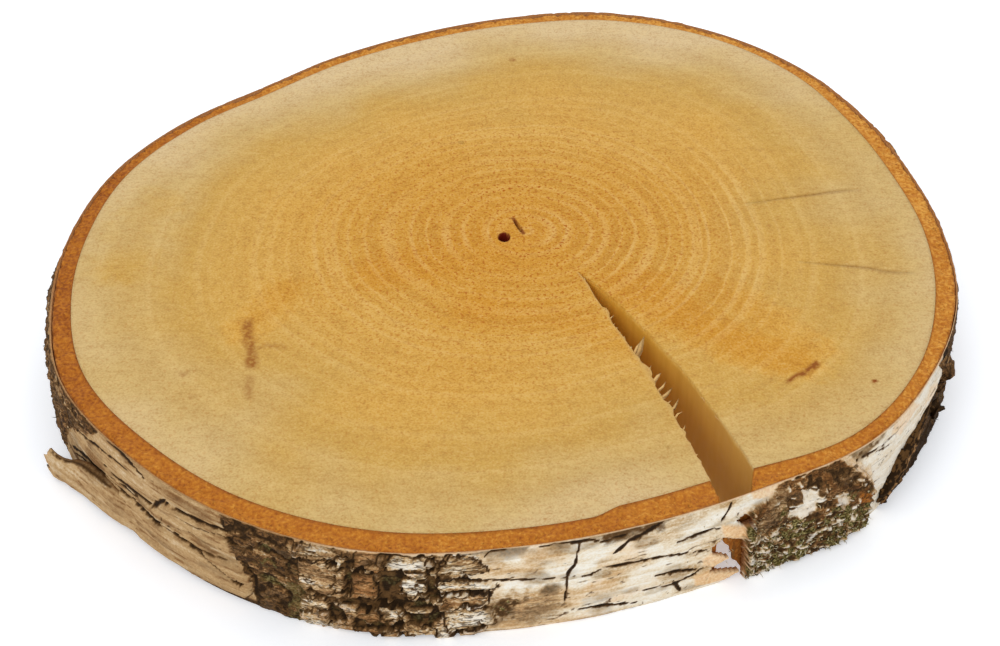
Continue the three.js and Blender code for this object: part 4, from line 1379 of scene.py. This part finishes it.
def build_peel(material):
    """The curled bark: a rough open tube along its stations, frayed at both ends."""
    bearing, height, radius = between_stations(PEEL_STATIONS, PEEL_STEPS)
    s = bearing * MM_PER_DEGREE
    along_s, along_z = np.gradient(s[:, 0])[:, None], np.gradient(height[:, 0])[:, None]
    length = np.hypot(along_s, along_z)
    side_s, side_z = along_z / length, -along_s / length
    turn = np.linspace(*PEEL_TURN, PEEL_SIDE)[None, :]
    step = np.arange(PEEL_STEPS)[:, None] * PEEL_STEP_LENGTH
    rough = layered(step / 2.2, turn / 30, 0, 111) - 0.5
    flaps = smooth(layered(step / 3, turn / 45, 0, 112), 0.5, 0.75)
    outside = radius * (1 + 0.5 * rough) + 0.9 * flaps
    inside = np.maximum(outside - PEEL_WALL, 0.2)
    r = np.hstack([outside, inside[:, ::-1]])
    turn = np.hstack([turn, turn[:, ::-1]])
    is_out = np.repeat([[1.0, 0.0]], PEEL_SIDE, 1)
    frayed = 3.0 * (layered(turn / 22, 0, 0, 113) - 0.5)
    ends = smooth(step, 6, 0) + smooth(step, step.max() - 6, step.max())
    across = r * np.sin(np.radians(turn))
    out = 0.6 * radius + r * np.cos(np.radians(turn))
    b = (s + frayed * ends + across * side_s) / MM_PER_DEGREE
    z = height + across * side_z
    points = beyond(b, np.maximum(out, 0.2), z.clip(0.1, THICKNESS + 2))
    flecked = layered(step / 1.4, turn / 16, 0, 114)
    gold = smooth(turn, 322, 336) * smooth(turn, 388, 372) * smooth(flecked, 0.44, 0.6)
    pink = smooth(turn, 318, 300) * smooth(height, 13, 8) * smooth(flecked, 0.4, 0.6)
    crack = (0.55 + 0.45 * smooth(flecked, 0.62, 0.46)) * (1 - gold) * (1 - pink)
    # The inside of the curl is painted near black: painted shade inside the tube
    add_bark_piece("curled_bark", points, loft_faces(*z.shape), material, {
        "tone": 0.98 - (0.34 * gold + 0.4 * pink) * is_out,
        "crack": np.where(is_out > 0, crack, 0.9),
        "fresh": 0.25 * pink * is_out,
        "moss": 0.35 * gold * smooth(flecked, 0.6, 0.7),
    })


def build_flakes(material):
    for n, corners in enumerate(FLAKES):
        corners = np.array(corners, float)
        middle = corners.mean(0) + [0, 0.5, 0]
        rings = []
        for share in FLAKE_RINGS:
            ring = middle + (corners - middle) * share
            ring = np.concatenate([np.linspace(a, b, 8, endpoint=False)
                                   for a, b in zip(ring, np.roll(ring, -1, 0))])
            rough = layered(ring[:, 0] / 0.6, ring[:, 1] / 1.2, ring[:, 2] / 1.2, 120 + n) - 0.5
            rings.append(ring + 0.7 * rough[:, None])
        front = np.array(rings)
        table = np.concatenate([front[::-1], front + FLAKE_REAR])
        bearing, out, z = np.moveaxis(table, -1, 0)
        z = z.clip(0.1, THICKNESS + 1.5)
        grain = layered(bearing, out / 1.5, z / 1.5, 130)
        points = beyond(bearing, out.clip(0.3, None), z)
        add_bark_piece(f"flake_{n + 1}", points, loft_faces(*z.shape), material, {
            "tone": 0.66 + 0.9 * (grain - 0.4) + 0.16 * n,
            "crack": 0.85 * smooth(grain, 0.5 + 0.08 * n, 0.4 + 0.08 * n),
            "rough": 0.8,
        })


def build_torn_layer(material):
    """The brown layer of bark that shows behind the tear."""
    z = np.linspace(TORN_LAYER[-1][0], TORN_LAYER[0][0], 40)[:, None]
    height, left = np.array(TORN_LAYER[::-1]).T
    edge = np.interp(z, height, left) + 0.35 * (noise(z / 1.2, 0, 0, 141) - 0.5)
    share = np.linspace(0, 1, 10)[None, :]
    bearing = edge + (TORN_LAYER_END - edge) * share
    out = -0.9 + 0.9 * (1 - share) ** 2 + 0.4 * (layered(bearing * 2, z / 4, 0, 142) - 0.5)
    bearing = np.hstack([bearing, bearing[:, ::-1]])
    out = np.hstack([out, out[:, ::-1] - 0.6])
    cracked = smooth(layered(bearing * MM_PER_DEGREE, z / 6, 0, 143), 0.6, 0.7)
    points = polar(bearing, bark_edge(bearing) + out, z)
    add_bark_piece("torn_layer", points, loft_faces(*out.shape), material,
                   {"tone": 0.8, "cork": 0.85, "crack": 0.4 * cracked})


# Moss, fibres and splinters

# How far along a spike its two rings are, how wide they are and how far they are bent aside
SPIKE_RINGS = [(0, 1.0, 0), (0.55, 0.75, 1)]
SPIKE_ANGLES = (0, 2.1, 4.2)
SPIKE_TRIANGLES = [[2, 1, 0], [3, 4, 6], [4, 5, 6], [5, 3, 6]]
SPIKE_QUADS = [[0, 1, 4, 3], [1, 2, 5, 4], [2, 0, 3, 5]]
SPIKE_POINTS = 7
# How deep the roots of moss and fibres are in the bark
SPIKE_SINK = 0.3

# Tufts of moss tried on the mossy plate and among the dark bark at the left, before the bare places are
# taken out
PLATE_TUFTS = 1700
DARK_TUFTS = 420

# Loose fibres: first and last bearing, how many, shortest and longest, width, and their shades
FIBRES = [(172, 206, 46, 0.7, 2.6, 0.35, (0.0, 0.5)), (40, 47, 7, 1.6, 3.2, 0.3, (0.0, 0.5)),
          (327, 341, 18, 0.6, 2.0, 0.4, (0.0, 0.5)), (291.5, 297.5, 26, 0.5, 1.6, 0.24, (0.6, 1.0)),
          (206, 214, 10, 0.6, 2.0, 0.3, (0.0, 0.5))]

# Splinters along the split: root and tip in plan, the tip's height and the width
SPLINTERS = [
    ((27.4, -43.6), (29.2, -41.6), 29.4, 0.9), ((33.0, -60.8), (37.4, -50.0), 28.4, 3.6),
    ((33.6, -58.6), (36.0, -53.4), 28.9, 1.4), ((37.0, -68.6), (38.4, -64.4), 29.5, 1.2),
    ((37.8, -71.4), (41.0, -67.2), 29.0, 1.6), ((38.9, -74.6), (42.0, -71.4), 29.4, 1.2),
    ((39.8, -77.4), (43.8, -72.6), 28.2, 1.8), ((41.0, -80.8), (43.0, -79.6), 29.5, 0.9),
    ((41.6, -82.8), (45.2, -77.4), 28.4, 1.6), ((43.0, -86.2), (45.8, -84.2), 29.4, 0.9),
    ((44.4, -90.6), (46.0, -89.4), 29.2, 0.8), ((52.4, -78.6), (50.9, -77.2), 28.9, 1.0),
    ((55.6, -86.2), (54.1, -85.0), 28.9, 0.9),
]
SMALL_SPLINTERS = 24


def add_spikes(name, roots, ways, widths, shades, material, node, seed, flat=1.0):
    """Thin bent spikes, each from its root along its way to a point, as one piece. A flat of 1 makes
    them as thick as they are wide."""
    count = len(roots)
    rng = np.random.default_rng(seed)
    length = np.linalg.norm(ways, axis=1)[:, None]
    way = ways / length
    side = np.cross(way, np.array([0.31, 0.17, 0.93]))
    side /= np.linalg.norm(side, axis=1)[:, None]
    other = np.cross(way, side)
    bend = side * rng.normal(0, 0.12, (count, 1)) + other * rng.normal(0, 0.12, (count, 1))
    rings = []
    for share, size, bent in SPIKE_RINGS:
        middle = roots + ways * share + bend * length * bent
        for angle in SPIKE_ANGLES:
            round_it = side * math.cos(angle) + other * flat * math.sin(angle)
            rings.append(middle + round_it * (widths * size / 2)[:, None])
    points = np.stack(rings + [roots + ways], 1)
    points[..., 2] = points[..., 2].clip(0.05, None)
    first = np.arange(count)[:, None] * SPIKE_POINTS
    faces = [np.concatenate([first + row for row in rows]) for rows in (SPIKE_TRIANGLES, SPIKE_QUADS)]
    mesh = make_mesh(name, points.reshape(-1, 3), faces)
    add_values(mesh, shade=np.repeat(shades, SPIKE_POINTS))
    add_piece(name, mesh, material, node)


def on_bark(bearing, z, lift):
    """Points on the bark's surface, lifted off it."""
    return beyond(bearing, paint_bark(bearing, z)["out"] + lift, z)


def scaled(ways, lengths):
    """Ways turned to the given lengths."""
    return ways * (lengths / np.linalg.norm(ways, axis=1))[:, None]


def tuft_places(rng):
    """Bearings and heights of the tufts of moss."""
    bearing = rng.uniform(297.4, 314.2, PLATE_TUFTS)
    z = 24 * rng.beta(1.1, 1.7, PLATE_TUFTS)
    bare = sum(patch(bearing, z, corners, 0.6, 0.5) for corners in PLATE_CHIPS[:2] + [RUST_PLACE])
    clump = layered(bearing * MM_PER_DEGREE / 4, z / 4, 0, 151)
    keep = (bare < 0.5) & (clump + 0.2 * rng.random(PLATE_TUFTS) > 0.56) & (z < 23 - 0.35 * (bearing - 298))
    keep &= patch(bearing, z, MOSSY_PLATE, 0.3, 1.0) > 0.5
    left = rng.uniform(242, 262, DARK_TUFTS)
    left_z = rng.uniform(1, 27, DARK_TUFTS)
    dark = layered(left * MM_PER_DEGREE / 4, left_z / 3, 0, 152) > 0.55
    dark &= rng.random(DARK_TUFTS) < np.where(left < 248, 1.0, 0.35)
    return np.concatenate([bearing[keep], left[dark]]), np.concatenate([z[keep], left_z[dark]])


def build_moss(material):
    """Short tufts with longer stalks lying among them."""
    rng = np.random.default_rng(7)
    bearing, z = tuft_places(rng)
    n = len(bearing)
    outward, level = directions(bearing)
    lying = rng.random(n) < 0.3
    rise = np.where(lying, 0.45, 1.0)[:, None]
    ways = outward * rise + level * rng.normal(0, 0.8, (n, 1)) + [0, 0, 1] * rng.normal(-0.1, 0.7, (n, 1))
    on_plate = bearing > 290
    length = np.where(lying, rng.uniform(1.0, 2.4, n), rng.uniform(0.4, 1.0, n)) * np.where(on_plate, 1, 0.6)
    widths = np.where(lying, 0.3, 0.5) * rng.uniform(0.7, 1.3, n)
    shades = np.where(lying, rng.uniform(0.3, 1.0, n), rng.beta(0.8, 1.3, n)) * np.where(on_plate, 1, 0.4)
    add_spikes("moss_tufts", on_bark(bearing, z, -SPIKE_SINK), scaled(ways, length), widths, shades,
               material, None, 8)


def build_fibres(material):
    """Loose bark fibres that stand out at the left, at the back right and round the mouth."""
    rng = np.random.default_rng(17)
    for n, (start, end, count, shortest, longest, width, shades) in enumerate(FIBRES):
        bearing, z = rng.uniform(start, end, count), rng.uniform(3, THICKNESS - 0.5, count)
        ways = directions(bearing)[0] + rng.normal(0, 0.55, (count, 3))
        ways = scaled(ways, rng.uniform(shortest, longest, count))
        shade = rng.uniform(*shades, count)
        widths = width * rng.uniform(0.7, 1.3, count)
        add_spikes(f"bark_fibres_{n + 1}", on_bark(bearing, z, -SPIKE_SINK), ways, widths, shade, material,
                   None, 20 + n)


def build_splinters(material):
    """The splinters that the photo shows in the split, and smaller ones all along its left edge."""
    rng = np.random.default_rng(27)
    roots = np.array([(x, y, THICKNESS - 1.2) for (x, y), _, _, _ in SPLINTERS])
    tips = np.array([(*tip, height) for _, tip, height, _ in SPLINTERS])
    widths = np.array([width for *_, width in SPLINTERS])
    more = SMALL_SPLINTERS
    distance = rng.uniform(30, 118, more)
    bearing = edge_bearings(SPLIT_LEFT, distance)
    along, across = directions(bearing)
    short = across * rng.uniform(0.3, 0.9, (more, 1)) + along * rng.normal(0, 0.5, (more, 1))
    short = short + [0, 0, 1] * rng.uniform(0, 0.9, (more, 1))
    ways = np.vstack([tips - roots, short])
    roots = np.vstack([roots, polar(bearing, distance, THICKNESS - 0.5) - 0.4 * across])
    widths = np.concatenate([widths, rng.uniform(0.5, 1.4, more)])
    shades = np.concatenate([np.full(len(tips), 0.9), rng.uniform(0.6, 1.0, more)])
    add_spikes("split_splinters", roots, ways, widths, shades, material, "wood", 28, 0.3)


def spike_look(name, *stops):
    look = Look(name)
    fine = look.grain(0.5)
    shade = look.values("shade")[0]
    colour = look.ramp(shade + (fine - 0.5) * 0.3, *stops)
    return look.finish(colour, look.span(fine, 0.3, 0.7, 0.7, 0.9), look.bump(fine, 0.1))


def outer_bark_look():
    look = Look("birch_bark_paper")
    tone, crack, grime, moss, fresh, cork, rough = look.values(*LOOKS)
    level = look.grain(0.8, stretch=(8, 8, 1), detail=3)
    fine = look.grain(0.7, detail=3)
    grit = look.grain(0.5, stretch=(1.5, 1.5, 1), detail=4)
    soft = look.grain(3.5, stretch=(2, 2, 1), detail=3)

    # Paper from white to dark brown, with peach and orange layers and dirt over it
    mottled = (level - 0.5) * 0.5 + (soft - 0.5) * 0.4 + (grit - 0.5) * 0.8
    shade = tone + mottled * look.span(rough, 0.0, 1.0, 0.35, 1.5)
    colour = look.ramp(shade, (0.0, 236, 230, 216), (0.22, 224, 207, 178), (0.45, 184, 151, 106),
                       (0.7, 130, 92, 54), (1.0, 62, 43, 26))
    peach = look.ramp(fine, (0.3, 216, 162, 106), (0.7, 240, 208, 160))
    colour = look.mix(fresh * 0.92, colour, peach)
    orange = look.ramp(fine, (0.3, 138, 72, 20), (0.7, 184, 116, 44))
    colour = look.mix(cork, colour, orange)
    dirt = look.mix(look.span(fine, 0.35, 0.65), tint(88, 74, 54), tint(120, 94, 66))
    colour = look.mix(grime * look.span(soft, 0.35, 0.6, 0.35, 0.9), colour, dirt)

    # Thin dark splits where the bark is rough, then the cracks with the painted shade they carry, and the
    # moss
    layers = look.grain(1.3, stretch=(4.5, 4.5, 1), detail=5)
    split = look.span(look.math("ABSOLUTE", layers - 0.5), 0.012, 0.04, 1.0, 0.0)
    split = split * look.span(rough, 0.3, 1.0, 0.0, 0.8)
    colour = look.mix(split, colour, tint(66, 45, 22))
    depth = crack + (fine - 0.5) * 0.45
    dark = look.mix(look.span(depth, 0.5, 0.95), tint(94, 66, 36), tint(40, 26, 11))
    colour = look.mix(look.span(depth, 0.18, 0.62), colour, dark)
    green = look.ramp(grit, (0.34, 34, 26, 12), (0.5, 88, 76, 34), (0.66, 156, 142, 92))
    colour = look.mix(look.span(moss, 0.3, 0.7), colour, green)
    height = level * 0.6 + fine * 0.7 + grit * rough * 0.5 - split * 0.4
    return look.finish(colour, look.span(tone, 0.0, 0.6, 0.6, 0.85), look.bump(height, 0.4), specular=0.08)


# Floor, light and camera

FLOOR_HALF = 3.0
ROOM_BRIGHTNESS = 0.8
# Round lamps: place in metres, width and power. Each points at the middle of the slice
LAMPS = {"key_light": ((-0.4, -1.1, 1.0), 0.9, 5.0), "back_light": ((0.15, 0.7, 0.95), 1.0, 2.3)}
CAMERA_PLACE = (-3.645, -486.185, 373.77)
CAMERA_TILT = 52
CAMERA_LENS = 70.56


def add_floor():
    mesh = bpy.data.meshes.new("floor")
    corners = [(x * FLOOR_HALF, y * FLOOR_HALF, 0) for x, y in ((-1, -1), (1, -1), (1, 1), (-1, 1))]
    mesh.from_pydata(corners, [], [(0, 1, 2, 3)])
    floor = add_object("floor", mesh)
    look = Look("floor_paper")
    roughness = look.span(look.grain(40), 0.3, 0.7, 0.85, 0.95)
    mesh.materials.append(look.finish(tint(244, 248, 254), roughness, look.bump(look.grain(3), 0.01),
                                      specular=0.0, glow=0.27))


def add_lights():
    world = bpy.data.worlds.new("soft_white_room")
    world.use_nodes = True
    background = world.node_tree.nodes["Background"]
    background.inputs["Color"].default_value = (1, 1, 1, 1)
    background.inputs["Strength"].default_value = ROOM_BRIGHTNESS
    bpy.context.scene.world = world
    for name, (place, size, power) in LAMPS.items():
        light = bpy.data.lights.new(name, "AREA")
        light.shape = "DISK"
        light.size = size
        light.energy = power
        lamp = add_object(name, light)
        lamp.location = place
        x, y, z = place
        lamp.rotation_euler = (math.atan2(math.hypot(x, y), z), 0, math.atan2(y, x) + math.pi / 2)


def add_camera():
    camera_data = bpy.data.cameras.new("photo_view")
    camera_data.lens = CAMERA_LENS
    camera_data.sensor_width = 36
    camera = add_object("photo_view", camera_data)
    camera.location = [c * MM for c in CAMERA_PLACE]
    camera.rotation_euler = (math.radians(CAMERA_TILT), 0, 0)
    bpy.context.scene.camera = camera
    bpy.context.scene.view_settings.view_transform = "Standard"


add_floor()
add_lights()
add_camera()
build_wood(wood_look())
build_inner_bark(inner_bark_look())
bark_material = outer_bark_look()
for build in (build_outer_bark, build_strip, build_peel, build_flakes, build_torn_layer):
    build(bark_material)
moss_material = spike_look("moss_and_fibres", (0.0, 38, 28, 16), (0.35, 86, 72, 38), (0.6, 140, 126, 76),
                           (1.0, 240, 228, 192))
build_moss(moss_material)
build_fibres(moss_material)
build_splinters(spike_look("pale_splinters", (0.3, 190, 138, 70), (1.0, 226, 186, 120)))
